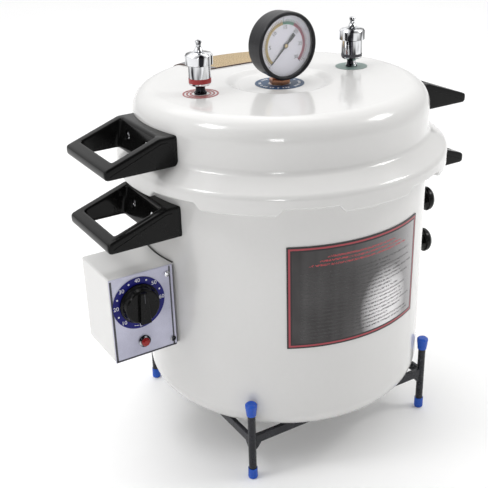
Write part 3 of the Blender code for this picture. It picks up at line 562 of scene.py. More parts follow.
def lid_shell():
    """The lid, turned in columns so that its skirt can rise and fall between the hooks."""
    slope = math.radians(FLANGE_SLOPE)
    bend = 0.008
    turn_x = FLANGE_RADIUS - bend
    start_x = turn_x + bend * math.sin(slope)
    start_z = FLANGE_LINE - (start_x - LID_RADIUS) * math.tan(slope)
    top = rounded([(STEM_HOLE, LID_TOP - RECESS_DEPTH), (RECESS_RADIUS, LID_TOP - RECESS_DEPTH, 0.012),
                   (RECESS_RADIUS + 0.009, LID_TOP, 0.012), (0.110, LID_TOP)], 6, closed=False)
    top += arc(LID_RADIUS - SHOULDER, LID_TOP - SHOULDER, SHOULDER, 90, 0, 16)
    root = rounded([(LID_RADIUS, LID_TOP - SHOULDER), (LID_RADIUS, FLANGE_LINE + 0.0010, 0.0080),
                    (start_x, start_z)], 8, closed=False)
    top += root[1:-1]
    top += arc(turn_x, start_z - bend * math.cos(slope), bend, 90 - FLANGE_SLOPE, 0, 10)
    inner = LID_RADIUS - LID_WALL
    skirt = FLANGE_RADIUS - 0.0037
    under = FLANGE_LINE - 0.0043
    land_end = LID_RADIUS + (under - LAND_HIGH) / math.tan(slope)
    below = [(skirt, under - (skirt - LID_RADIUS) * math.tan(slope)), (land_end, LAND_HIGH),
             (inner, LAND_HIGH), *arc(inner - SHOULDER + LID_WALL, LID_TOP - SHOULDER, SHOULDER - LID_WALL, 0, 90, 10),
             (RECESS_RADIUS + 0.009, LID_TOP - LID_WALL), (RECESS_RADIUS, LID_TOP - LID_WALL - RECESS_DEPTH),
             (STEM_HOLE, LID_TOP - LID_WALL - RECESS_DEPTH)]
    angles = []
    for lobe in range(LOBES):
        centre = 45.0 * lobe + LOBE_TURN
        half = LOBE_ANGLE / 2
        angles += [centre + part * (half - 1.6) / 8 for part in range(-8, 9)]
        angles += [centre + half - 1.6 + 3.2 * part / 14 for part in range(1, 14)]
        angles += [centre + half + 1.6 + (45 - 2 * half - 3.2) * part / 7 for part in range(8)]
        angles += [centre + 45 - half - 1.6 + 3.2 * part / 14 for part in range(1, 14)]
    columns = []
    for angle in angles:
        off = abs((angle - LOBE_TURN + 22.5) % 45.0 - 22.5)
        lobe = smooth_step((LOBE_ANGLE / 2 + 1.4 - off) / 2.8)
        low = NOTCH_HIGH + (SKIRT_LOW - NOTCH_HIGH) * lobe
        hook = skirt - 0.0004 + (HOOK_REACH - skirt + 0.0004) * smooth_step((LOBE_ANGLE / 2 + 0.2 - off) / 1.2)
        lip = [(FLANGE_RADIUS, low + 0.006)] + arc(FLANGE_RADIUS - 0.0024, low + 0.0024, 0.0024, 0, -90, 5)
        ends = [(hook, low), (hook, low + HOOK_THICK), (skirt, low + HOOK_THICK)]
        turn = math.radians(angle)
        columns.append([(r * math.cos(turn), r * math.sin(turn), z) for r, z in top + lip + ends + below])
    bm = bmesh.new()
    rows = [[column[index] for column in columns] for index in range(len(columns[0]))]
    ring_mesh(bm, rows)
    piece(loose("lid_shell", bm), "lid", "white_enamel", "lid", angle=50)


def lid_height(radius):
    flat_end = LID_RADIUS - SHOULDER
    if radius <= flat_end:
        return LID_TOP
    return LID_TOP - SHOULDER + math.sqrt(max(SHOULDER ** 2 - (radius - flat_end) ** 2, 0.0))


def lid_plate():
    """The thin plate at the back of the lid, with a dark grey end and brown edges."""
    across, deep = 40, 28
    near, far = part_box("lid_name_plate")[0].y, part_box("lid_name_plate")[1].y
    bm = bmesh.new()
    layers = []
    for lift in (0.0004, 0.0011):
        grid = []
        for row in range(deep + 1):
            line = []
            for column in range(across + 1):
                y = near + (far - near) * row / deep
                x = (0.0380 + 0.0160 * row / deep) * (2 * column / across - 1)
                line.append(bm.verts.new((x, y, lid_height(math.hypot(x, y)) + lift)))
            grid.append(line)
        layers.append(grid)
    lower, upper = layers
    for row in range(deep):
        for column in range(across):
            for grid in layers:
                bm.faces.new((grid[row][column], grid[row][column + 1], grid[row + 1][column + 1],
                              grid[row + 1][column]))
    border = [(0, c) for c in range(across)] + [(r, across) for r in range(deep)]
    border += [(deep, c) for c in range(across, 0, -1)] + [(r, 0) for r in range(deep, 0, -1)]
    for (r1, c1), (r2, c2) in zip(border, border[1:] + border[:1]):
        bm.faces.new((lower[r1][c1], lower[r2][c2], upper[r2][c2], upper[r1][c1]))
    layer = bm.loops.layers.uv.new("plate")
    for face in bm.faces:
        for loop in face.loops:
            x, y = loop.vert.co.x, loop.vert.co.y
            part = (y - near) / (far - near)
            loop[layer].uv = (0.5 + 0.5 * x / (0.0380 + 0.0160 * part), part)
    piece(loose("lid_plate_sheet", bm), "lid", "tan_plate", "lid_name_plate")


def stickers():
    """Printed rings round the gauge's nut and the two valves, as thin as paper."""
    floor = LID_TOP - RECESS_DEPTH + 0.0001
    lathe_piece("gauge_ring_sticker", [(0.0115, floor), (0.0250, floor), (0.0250, floor + 0.0002),
                                       (0.0115, floor + 0.0002)], "lid", "teal_sticker",
                sides=96, look="teal_sticker")
    bm = bmesh.new()
    for index in range(48):
        if index % 12 in (0, 6) or index % 5 == 2:
            continue
        turn = Matrix.Rotation(2 * math.pi * index / 48, 4, "Z")
        part = box((0.0188, -0.0005 - 0.0003 * (index % 2), floor + 0.0002),
                   (0.0214, 0.0005 + 0.0002 * (index % 3), floor + 0.0003))
        part.transform(turn)
        join(bm, part)
    piece(loose("gauge_ring_marks", bm), "lid", "white_print", look="white_print")
    for word, x, rings, look in (("left", -0.0910, ((0.0160, 0.0175), (0.0125, 0.0140), (0.0090, 0.0105)), "red_print"),
                                 ("right", 0.0910, ((0.0052, 0.0168),), "grey_sticker")):
        level = LID_TOP + 0.0001
        for number, (inner, outer) in enumerate(rings, start=1):
            lathe_piece(f"valve_ring_{word}_{number}", [(inner, level), (outer, level), (outer, level + 0.0002),
                                                        (inner, level + 0.0002)], "lid", look,
                        sides=72, place=Matrix.Translation((x, 0, 0)), look=look)


def join(bm, other):
    """Adds one bmesh to another."""
    mesh = bpy.data.meshes.new("part")
    other.to_mesh(mesh)
    other.free()
    bm.from_mesh(mesh)
    bpy.data.meshes.remove(mesh)


# ---------------------------------------------------------------- handles

def screw(name, node, body, place, radius, height, flat=False):
    """A domed screw with a cross slot; local Z points out of the head."""
    profile = rounded([(0, -0.004), (radius * 0.5, -0.004), (radius * 0.5, 0), (radius, 0, 0.0002),
                       (radius, height * 0.55, 0.0006), (radius * 0.62, height * 0.92, 0.001), (0, height)], 4)
    made = loose(name, turned(profile, 32), place)
    for turn in (35, 125):
        slot = box((-radius * 0.72, -radius * 0.10, height * 0.45), (radius * 0.72, radius * 0.10, height * 1.5))
        slot.transform(Matrix.Rotation(math.radians(turn), 4, "Z"))
        made = carved(made, loose("slot", slot, place))
    piece(made, body, "bright_chrome", node, look="bright_chrome")


def handle(level, word, side, form, tip_high):
    node = f"{level}_handle_{word}"
    body = "lid" if level == "lid" else "pot"
    low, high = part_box(node)
    tip = max(abs(low.x), abs(high.x))
    bottom, top = low.z, high.z
    seat, fold = 0.1400, LID_RADIUS + HANDLE_BASE
    nose = (tip_high - bottom) / 2
    outline = rounded([(seat, bottom), (tip, bottom, nose * 0.62), (tip, tip_high, nose * 0.72),
                       (fold, top, 0.003), (seat, top)], 5)
    made = loose(node + "_grip", prism([(side * x, z) for x, z in outline], -HANDLE_HALF, HANDLE_HALF, axis="Y"))
    inner, reach = HANDLE_HALF - ARM_WIDTH, tip - GRIP_WIDTH
    window = [(fold + 0.0095, bottom - 0.01), (reach, bottom - 0.01), (reach, top + 0.01),
              (fold + 0.0012 - 0.004, top + 0.01)]
    made = carved(made, loose("window", prism([(side * x, z) for x, z in window], -inner, inner, axis="Y")))
    made = softened(made)
    made = carved(made, form())
    height = bottom + (top - bottom) * 0.52
    for number, y in enumerate((-0.020, 0.020), start=1):
        out = Matrix.Translation((side * 0.1592, y, height)) @ Matrix.Rotation(side * math.pi / 2, 4, "Y")
        sink = turned(rounded([(0, 0), (0.0052, 0), (0.0052, 0.020), (0, 0.020)]), 32)
        hole = turned([(0, -0.015), (0.0024, -0.015), (0.0024, 0.001), (0, 0.001)], 24)
        made = carved(made, loose("sink", sink, out), loose("hole", hole, out))
        screw(f"{node}_fixing_{number}", f"{node}_screw_{number}", body,
              out @ Matrix.Translation((0, 0, 0.0003)), 0.0042, 0.0026)
    rim = []
    for x, z in ((0.1520 if level == "lid" else 0.1525, top - 0.0052), (fold - 0.0008, top - 0.0052),
                 (tip - 0.0075, tip_high - 0.0048), (tip - 0.0052, tip_high - 0.0062)):
        rim.append((side * x, z))
    for part, y in (("front", -HANDLE_HALF), ("back", HANDLE_HALF)):
        line = tube([(x, y, z) for x, z in rim], 0.00042, 8)
        piece(loose(f"{node}_{part}_rib", line), body, "black_bakelite", look="black_bakelite")
    piece(made, body, "black_bakelite", node, look="black_bakelite")


def handles():
    slope = math.tan(math.radians(FLANGE_SLOPE))

    def lid_form():
        grown = [(0, LID_TOP + 0.001)]
        grown += arc(LID_RADIUS - SHOULDER, LID_TOP - SHOULDER, SHOULDER + 0.0003, 90, 0, 12)
        grown += rounded([(LID_RADIUS + 0.0003, 0.345), (LID_RADIUS + 0.0003, FLANGE_LINE + 0.0013, 0.0075),
                          (0.1660, FLANGE_LINE + 0.0004 - 0.0160 * slope)], 6, closed=False)[1:]
        return loose("form", turned([*grown, (0.1660, 0.30), (0, 0.30)], 192))

    def pot_form():
        return loose("form", turned([(0, 0.20), (POT_RADIUS + 0.0003, 0.20), (POT_RADIUS + 0.0003, 0.32),
                                     (0, 0.32)], 192))

    for side, word in ((-1, "left"), (1, "right")):
        handle("lid", word, side, lid_form, 0.3352)
        handle("pot", word, side, pot_form, 0.2655)


# ---------------------------------------------------------------- gauge

GAUGE = Vector((0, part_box("gauge_case")[1].y, middle("gauge_case").z))
GAUGE_FRAME = facing_front(GAUGE)
DIAL_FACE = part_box("gauge_case")[1].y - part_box("gauge_dial")[0].y
ZERO_MARK, FULL_MARK = 225.0, -45.0       # degrees counted from local X


def lettering(name, words, body, size, place, look, thick=0.00008):
    """Numbers as thin raised print; words are (text, x, y, turn in degrees)."""
    bm = bmesh.new()
    for text, x, y, turn in words:
        curve = bpy.data.curves.new("text", "FONT")
        curve.body = text
        curve.size = size
        curve.align_x = "CENTER"
        curve.align_y = "CENTER"
        curve.extrude = thick
        curve.resolution_u = 3
        made = bpy.data.objects.new("text", curve)
        bpy.context.scene.collection.objects.link(made)
        mesh = bpy.data.meshes.new_from_object(made.evaluated_get(bpy.context.evaluated_depsgraph_get()))
        mesh.transform(Matrix.Translation((x, y, 0)) @ Matrix.Rotation(math.radians(turn), 4, "Z"))
        bm.from_mesh(mesh)
        bpy.data.objects.remove(made, do_unlink=True)
    bmesh.ops.remove_doubles(bm, verts=bm.verts, dist=1e-7)
    piece(loose(name, bm, place), body, look, look=look, weighted=False)


def band(inner, outer, start, end, low, high, bm=None, steps=None):
    """A flat ring sector."""
    steps = steps or max(2, int(abs(end - start) / 4))
    outline = arc(0, 0, inner, start, end, steps) + arc(0, 0, outer, end, start, steps)
    return prism(outline, low, high, bm)


def gauge():
    place = GAUGE_FRAME
    lathe_piece("gauge_case_shell", rounded([
        (0, 0), (0.0323, 0, 0.0035), (0.0323, 0.0216), (0.0308, 0.0216), (0.0308, 0.0020), (0, 0.0020)], 6),
        "lid", "black_paint", "gauge_case", sides=96, place=place)
    lathe_piece("gauge_bezel_ring", rounded([
        (0.0296, 0.0234), (0.0326, 0.0234), (0.0326, 0.0150), (0.0333, 0.0150, 0.0003),
        (0.0333, 0.0238, 0.0014), (0.0324, 0.0255, 0.0012), (0.0306, 0.0254, 0.0010), (0.0296, 0.0242, 0.0004)], 5),
        "lid", "black_paint", "gauge_bezel", sides=96, place=place)
    lathe_piece("gauge_window", rounded([(0, 0.0219), (0.0320, 0.0219, 0.0002), (0.0320, 0.0231, 0.0002),
                                         (0, 0.0231)], 3), "lid", "clear_glass", "gauge_glass", sides=72, place=place)
    lathe_piece("gauge_dial_disc", rounded([(0.0018, DIAL_FACE - 0.0008), (0.0304, DIAL_FACE - 0.0008, 0.0001), (0.0304, DIAL_FACE, 0.0002),
                                            (0.0018, DIAL_FACE)], 3), "lid", "white_dial", "gauge_dial", sides=96,
                place=place)
    print_low, print_high = DIAL_FACE, DIAL_FACE + 0.0001
    for name, start, end in (("yellow", ZERO_MARK, 97), ("green", 97, 62), ("crimson", 62, FULL_MARK)):
        sector = band(0.0206, 0.0236, start, end, print_low, print_high, steps=40)
        for index in range(61):
            turn = ZERO_MARK + (FULL_MARK - ZERO_MARK) * index / 60
            if index % 10 and end <= turn < start:
                tick = box((0.02365, -0.00034, print_low), (0.0257, 0.00034, print_high))
                tick.transform(Matrix.Rotation(math.radians(turn), 4, "Z"))
                join(sector, tick)
        piece(loose(f"gauge_{name}_arc", sector, place), "lid", f"{name}_print", look=f"{name}_print")
    marks = bmesh.new()
    for index in range(61):
        angle = math.radians(ZERO_MARK + (FULL_MARK - ZERO_MARK) * index / 60)
        long = index % 10 == 0
        inner = 0.0212 if long else 0.0222
        wide = 0.00030 if long else 0.00018
        part = box((inner, -wide, print_high), (0.0250 if long else 0.0244, wide, print_high + 0.0001))
        part.transform(Matrix.Rotation(angle, 4, "Z"))
        join(marks, part)
    piece(loose("gauge_scale_marks", marks, place), "lid", "dark_print", look="dark_print")
    inner_words, outer_words = [], []
    for number in range(1, 7):
        angle = math.radians(ZERO_MARK + (FULL_MARK - ZERO_MARK) * number / 6)
        inner_words.append((str(number * 5), 0.0178 * math.cos(angle), 0.0178 * math.sin(angle),
                            math.degrees(angle) - 90 if 20 < math.degrees(angle) < 160 else 0))
    for number, text in enumerate(("0", "0.5", "1", "1.5", "2")):
        angle = math.radians(ZERO_MARK + (FULL_MARK - ZERO_MARK) * number * 7.25 / 30)
        outer_words.append((text, 0.0268 * math.cos(angle), 0.0268 * math.sin(angle), math.degrees(angle) - 90))
    face = place @ Matrix.Translation((0, 0, print_high))
    lettering("gauge_inner_numbers", inner_words, "lid", 0.0052, face, "dark_print")
    lettering("gauge_outer_numbers", outer_words, "lid", 0.0026, face, "dark_print")
    needle_and_stem(place)


def needle_and_stem(place):
    low = DIAL_FACE + 0.0006
    bm = turned(rounded([(0, 0.0105), (0.0012, 0.0105), (0.0012, low), (0.0026, low, 0.0002),
                         (0.0026, low + 0.0009), (0, low + 0.0009)], 3), 40)
    blade = rounded([(0.00030, 0.0236), (0.0009, 0.004), (0.0022, 0.0, 0.002), (0.0009, -0.004), (0.0017, -0.0075),
                     (0.0019, -0.0145, 0.0004), (-0.0019, -0.0145, 0.0004), (-0.0017, -0.0075), (-0.0009, -0.004),
                     (-0.0022, 0.0, 0.002), (-0.0009, 0.004), (-0.00030, 0.0236)], 4)
    part = prism(blade, low + 0.0002, low + 0.0007)
    part.transform(Matrix.Rotation(math.radians(ZERO_MARK - 90), 4, "Z"))
    join(bm, part)
    piece(loose("gauge_needle_blade", bm, place), "needle", "black_paint", "gauge_needle", look="black_paint")
    lathe_piece("gauge_needle_hub", rounded([(0, low + 0.0010), (0.0019, low + 0.0010, 0.0001),
                                             (0.0016, low + 0.0015, 0.0003), (0, low + 0.0016)], 4),
                "needle", "plain_brass", sides=32, place=place, look="plain_brass")
    floor = LID_TOP - RECESS_DEPTH
    hexagon = [(0.0108 * math.cos(math.radians(60 * i + 12)), 0.0108 * math.sin(math.radians(60 * i + 12)), 0.0006)
               for i in range(6)]
    bm = prism(rounded(hexagon, 3), floor + 0.0003, floor + 0.0050)
    made = bevelled(loose("gauge_neck", bm), 0.0005, 2, 60)
    top = GAUGE.z - 0.0320
    neck = turned(rounded([(0, 0.3560), (0.0058, 0.3560, 0.0006), (0.0058, floor + 0.004), (0.0074, floor + 0.0060, 0.001),
                           (0.0050, floor + 0.0085, 0.001), (0.0050, top + 0.004), (0, top + 0.004)], 4), 40)
    bm = bmesh.new()
    bm.from_mesh(made.data)
    join(bm, neck)
    bpy.data.objects.remove(made, do_unlink=True)
    piece(loose("gauge_neck", bm), "lid", "copper_nut", "gauge_stem")


# ---------------------------------------------------------------- valves

def valves():
    for word in ("left", "right"):
        place = Matrix.Translation((middle(f"valve_body_{word}").x, 0, LID_TOP))
        lathe_piece(f"valve_housing_{word}", rounded([
            (0.0018, -0.0190), (0.0042, -0.0190), (0.0042, 0.0003), (0.0062, 0.0003, 0.0003),
            (0.0062, 0.0020, 0.0006), (0.0048, 0.0032, 0.001), (0.0046, 0.0065, 0.001), (0.0056, 0.0088, 0.0012),
            (0.0100, 0.0092, 0.0006), (0.0106, 0.0104, 0.0008), (0.0106, 0.0280, 0.0004), (0.0094, 0.0284),
            (0.0094, 0.0360), (0.0080, 0.0360), (0.0080, 0.0125), (0.0018, 0.0125)], 5),
            "lid", "bright_chrome", f"valve_body_{word}", sides=80, place=place)
        lathe_piece(f"valve_crown_{word}", rounded([
            (0.0028, 0.0368), (0.0098, 0.0368), (0.0098, 0.0287), (0.0134, 0.0287, 0.0005), (0.0134, 0.0372, 0.0012),
            (0.0120, 0.0392, 0.0012), (0.0080, 0.0402, 0.002), (0.0028, 0.0404, 0.0003)], 5),
            "lid", "bright_chrome", f"valve_cap_{word}", sides=80, place=place)
        lathe_piece(f"valve_lifter_{word}", rounded([
            (0, 0.0128), (0.0064, 0.0128), (0.0064, 0.0144), (0.0024, 0.0148), (0.0024, 0.0408),
            (0.0047, 0.0408, 0.0004), (0.0044, 0.0420, 0.001), (0.0027, 0.0450, 0.004), (0.0024, 0.0470, 0.003),
            (0.0034, 0.0492, 0.0012), (0.0031, 0.0510, 0.0012), (0, 0.0517)], 5),
            f"plunger_{word}", "bright_chrome", f"valve_plunger_{word}", sides=48, place=place)
        look = "red_print" if word == "left" else "dark_print"
        low, high = (0.0112, 0.0158) if word == "left" else (0.0112, 0.0140)
        lathe_piece(f"valve_band_{word}", rounded([(0.01065, low), (0.0109, low, 0.0001), (0.0109, high, 0.0001),
                                                   (0.01065, high)], 2), "lid", look, sides=80,
                    place=place, look=look)
        valve_spring(word)


def valve_spring(word):
    """The coil over the lifter's stem, with its top at the cap."""
    low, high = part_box(f"valve_spring_{word}")
    centre = middle(f"valve_spring_{word}")
    wire, coil, turns, per_turn = 0.0007, 0.0050, 3.5, 24
    bottom, top = low.z + wire, high.z - wire
    steps = int(turns * per_turn)
    points = []
    for step in range(steps + 1):
        angle = 2 * math.pi * step / per_turn
        points.append((centre.x + coil * math.cos(angle), coil * math.sin(angle),
                       bottom + (top - bottom) * step / steps))
    made = loose(f"valve_coil_{word}", tube(points, wire, 8))
    piece(made, "lid", "tube_steel", f"valve_spring_{word}", weighted=False)
    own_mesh(made)


# ---------------------------------------------------------------- timer box

BOX_LOW_CORNER, BOX_HIGH_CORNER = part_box("timer_box_casing")
PANEL_LOW, PANEL_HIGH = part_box("timer_panel")
DIAL = middle("timer_dial")
FRONT_FACE = PANEL_LOW.y
DIAL_FRAME = facing_front((DIAL.x, FRONT_FACE, DIAL.z))


def timer_box():
    low, high = BOX_LOW_CORNER, BOX_HIGH_CORNER
    casing = bevelled(loose("casing", box(low, (-0.1300, high.y, high.z))), 0.0022, 4)
    inside = box((low.x + 0.0014, low.y - 0.01, low.z + 0.0014), (-0.120, high.y - 0.0014, high.z - 0.0014))
    wall = turned([(0, 0.1), (POT_RADIUS + 0.0005, 0.1), (POT_RADIUS + 0.0005, 0.25), (0, 0.25)], 192)
    gland = turned([(0, 0.12), (0.0064, 0.12), (0.0064, 0.14), (0, 0.14)], 24)
    spot = middle("cable_gland")
    casing = carved(casing, loose("inside", inside), loose("wall", wall),
                    loose("gland", gland, Matrix.Translation((spot.x, spot.y, 0))))
    casing.name = "timer_casing_shell"
    piece(casing, "pot", "white_enamel", "timer_box_casing", look="white_enamel")
    low, high = PANEL_LOW, PANEL_HIGH
    panel = bevelled(loose("panel", box(low, high)), 0.0005, 2)
    lamp = middle("pilot_lamp_body")
    holes = [(DIAL.x, DIAL.z, 0.0042), (lamp.x, lamp.z, 0.0048)]
    holes += [(middle(f"panel_screw_{n}").x, middle(f"panel_screw_{n}").z, 0.0019) for n in (1, 2)]
    for x, z, radius in holes:
        tool = turned([(0, -0.01), (radius, -0.01), (radius, 0.01), (0, 0.01)], 32)
        panel = carved(panel, loose("hole", tool, facing_front((x, low.y, z))))
    panel.name = "timer_panel_sheet"
    piece(panel, "pot", "silver_panel", "timer_panel")
    face = low.y - 0.00012
    lines = bmesh.new()
    for x0, z0, x1, z1 in ((low.x + 0.0005, low.z + 0.0005, low.x + 0.0026, high.z - 0.0015),
                           (low.x + 0.0005, low.z + 0.0005, high.x - 0.0008, low.z + 0.0022),
                           (high.x - 0.0042, low.z + 0.0006, high.x - 0.0026, high.z - 0.0010)):
        box((x0, face, z0), (x1, low.y + 0.0002, z1), lines)
    piece(loose("timer_panel_lines", lines), "pot", "dark_print", look="dark_print")
    for number in (1, 2):
        centre = middle(f"panel_screw_{number}")
        screw(f"panel_fixing_{number}", f"panel_screw_{number}", "pot",
              facing_front((centre.x, low.y - 0.0003, centre.z)), 0.0030, 0.0019)
    dial_and_knob()
    lamp_and_gland(lamp)
    # painted shade: a dark bead along the shadow line where the casing meets the pot
    gap_shadow_bead()


def dial_and_knob():
    lathe_piece("timer_dial_disc", rounded([(0.0060, 0.0003), (0.0274, 0.0003), (0.0274, 0.0008, 0.0002),
                                            (0.0060, 0.0008)], 3), "pot", "blue_dial", "timer_dial", sides=96,
                place=DIAL_FRAME)
    words = []
    dots = bmesh.new()
    for step in range(13):
        angle = math.radians(-90 - 22.5 * step)
        x, y = 0.0242 * math.cos(angle), 0.0242 * math.sin(angle)
        if step % 2 == 0:
            words.append((str(step * 5), x, y, 0))
        elif step > 1:
            dot = turned([(0, 0.0008), (0.0009, 0.0008), (0.0009, 0.0010), (0, 0.0010)], 20)
            dot.transform(Matrix.Translation((x, y, 0)))
            join(dots, dot)
    for start in (-96, -102):
        join(dots, band(0.0238, 0.0243, start, start - 5.0, 0.0008, 0.0010, steps=4))
    piece(loose("timer_dial_dots", dots, DIAL_FRAME), "pot", "white_print", look="white_print")
    lettering("timer_dial_numbers", words, "pot", 0.0058, DIAL_FRAME @ Matrix.Translation((0, 0, 0.0009)),
              "white_print")
    bm = turned(rounded([(0.0033, 0.0012), (0.0207, 0.0012, 0.0005), (0.0205, 0.0034, 0.0008), (0.0190, 0.0048, 0.001),
                         (0.0176, 0.0102, 0.0012), (0.0160, 0.0112, 0.001), (0, 0.0112), (0, 0.0104),
                         (0.0033, 0.0104)], 5), 96)
    ribs = 60
    knob = loose("knob", bm)
    grip = prism(rounded([(-0.0056, -0.0166, 0.001), (0.0056, -0.0166, 0.001), (0.0036, 0.0166, 0.001),
                          (-0.0036, 0.0166, 0.001)], 4), 0.0085, 0.0158)
    made = bevelled(loose("grip", grip), 0.0010, 3, 50)
    knob = carved(knob, made, operation="UNION")
    knob.data.transform(DIAL_FRAME)
    knob.name = "timer_knob_grip"
    piece(knob, "timer_knob", "black_bakelite", "timer_knob", look="black_bakelite")
    line = box((-0.0003, 0.0060, 0.0158), (0.0003, 0.0158, 0.0160))
    piece(loose("timer_knob_line", line, DIAL_FRAME), "timer_knob", "dark_print", look="dark_print")


def lamp_and_gland(lamp):
    place = facing_front((lamp.x, FRONT_FACE, lamp.z))
    lathe_piece("pilot_lamp_rim", rounded([(0.0036, -0.0160), (0.0045, -0.0160), (0.0045, 0.0003), (0.0064, 0.0003),
                                           (0.0062, 0.0018, 0.0008), (0.0050, 0.0026, 0.0006), (0.0036, 0.0026)], 5),
                "pot", "bright_chrome", "pilot_lamp_body", sides=48, place=place)
    lathe_piece("pilot_lamp_dome", rounded([(0, -0.0100), (0.0033, -0.0100), (0.0033, 0.0027), (0.0045, 0.0027),
                                            (0.0043, 0.0042, 0.001), (0.0028, 0.0056, 0.002), (0, 0.0060)], 5),
                "pot", "red_lens", "pilot_lamp_lens", sides=48, place=place)
    spot = middle("cable_gland")
    lathe_piece("cable_gland_body", rounded([
        (0.0036, -0.0120, 0.0004), (0.0072, -0.0120, 0.0008), (0.0078, -0.0080, 0.0006), (0.0095, -0.0072, 0.0006),
        (0.0095, -0.0003), (0.0061, -0.0003), (0.0061, 0.0060), (0.0036, 0.0060)], 4), "pot", "black_rubber",
        "cable_gland", sides=48, place=Matrix.Translation((spot.x, spot.y, BOX_LOW_CORNER.z)))


def gap_shadow_bead():
    """A dark bead of painted shade where the casing's top meets the pot, standing in for the shadow line of the gap."""
    points = []
    half = BOX_HIGH_CORNER.y
    for step in range(25):
        y = BOX_LOW_CORNER.y + 0.001 + (half - BOX_LOW_CORNER.y - 0.002) * step / 24
        points.append((-math.sqrt((POT_RADIUS + 0.0010) ** 2 - y * y), y, BOX_HIGH_CORNER.z + 0.0001))
    piece(loose("timer_box_gap_shadow_bead", tube(points, 0.0008, 8)), "pot", "black_rubber", look="black_rubber")


# ---------------------------------------------------------------- chamber furniture

def chamber():
    low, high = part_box("lid_gasket")
    lathe_piece("lid_gasket_ring", rounded([
        (0.1468, low.z, 0.0012), (0.1502, low.z, 0.0010), (0.1508, low.z + 0.0010), (0.1516, low.z, 0.0008),
        (0.1543, low.z, 0.0014), (0.1543, high.z, 0.0014), (0.1468, high.z, 0.0014)], 4),
        "lid_ring", "pale_rubber", "lid_gasket", sides=160)
    rack_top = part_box("rack")[1].z
    rack = loose("rack", turned(rounded([(0, rack_top - 0.0020), (0.1330, rack_top - 0.0020, 0.0006),
                                         (0.1330, rack_top, 0.0006), (0, rack_top)], 3), 96))
    holes = bmesh.new()
    for radius, count in ((0.0, 1), (0.030, 6), (0.062, 12), (0.095, 18)):
        for index in range(count):
            angle = 2 * math.pi * (index + 0.5) / count
            hole = turned([(0, 0.07), (0.0065, 0.07), (0.0065, 0.09), (0, 0.09)], 20)
            hole.transform(Matrix.Translation((radius * math.cos(angle), radius * math.sin(angle), 0)))
            join(holes, hole)
    rack = carved(rack, loose("holes", holes))
    bm = bmesh.new()
    bm.from_mesh(rack.data)
    for index in range(3):
        angle = math.radians(30 + 120 * index)
        foot = turned(rounded([(0, POT_BOTTOM + POT_WALL + 0.0003), (0.0040, POT_BOTTOM + POT_WALL + 0.0003, 0.0005),
                               (0.0040, rack_top - 0.0015), (0, rack_top - 0.0015)], 3), 24)
        foot.transform(Matrix.Translation((0.114 * math.cos(angle), 0.114 * math.sin(angle), 0)))
        join(bm, foot)
    bpy.data.objects.remove(rack, do_unlink=True)
    piece(loose("rack_plate", bm), "pot", "plain_aluminium", "rack")
    floor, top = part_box("basket")[0].z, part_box("basket")[1].z
    basket = loose("basket", turned(rounded([
        (0, floor), (0.1290, floor, 0.007), (0.1290, top - 0.0036, 0.0006), (0.1312, top - 0.0030, 0.0010),
        (0.1315, top, 0.0010), (0.1275, top, 0.0008), (0.1275, floor + 0.0015, 0.006), (0, floor + 0.0015)], 6), 144))
    holes = bmesh.new()
    for row in range(6):
        for index in range(24):
            angle = 2 * math.pi * (index + 0.5 * (row % 2)) / 24
            hole = turned([(0, 0.12), (0.0042, 0.12), (0.0042, 0.14), (0, 0.14)], 14)
            hole.transform(Matrix.Rotation(angle, 4, "Z") @ Matrix.Translation((0, 0, floor + 0.030 + 0.028 * row))
                           @ Matrix.Rotation(math.pi / 2, 4, "Y"))
            join(holes, hole)
    for radius, count in ((0.035, 6), (0.070, 12), (0.103, 18)):
        for index in range(count):
            angle = 2 * math.pi * index / count
            hole = turned([(0, 0.07), (0.0042, 0.07), (0.0042, 0.095), (0, 0.095)], 14)
            hole.transform(Matrix.Translation((radius * math.cos(angle), radius * math.sin(angle), 0)))
            join(holes, hole)
    basket = carved(basket, loose("holes", holes))
    basket.name = "basket_shell"
    piece(basket, "basket", "plain_aluminium", "basket")


# ---------------------------------------------------------------- stand

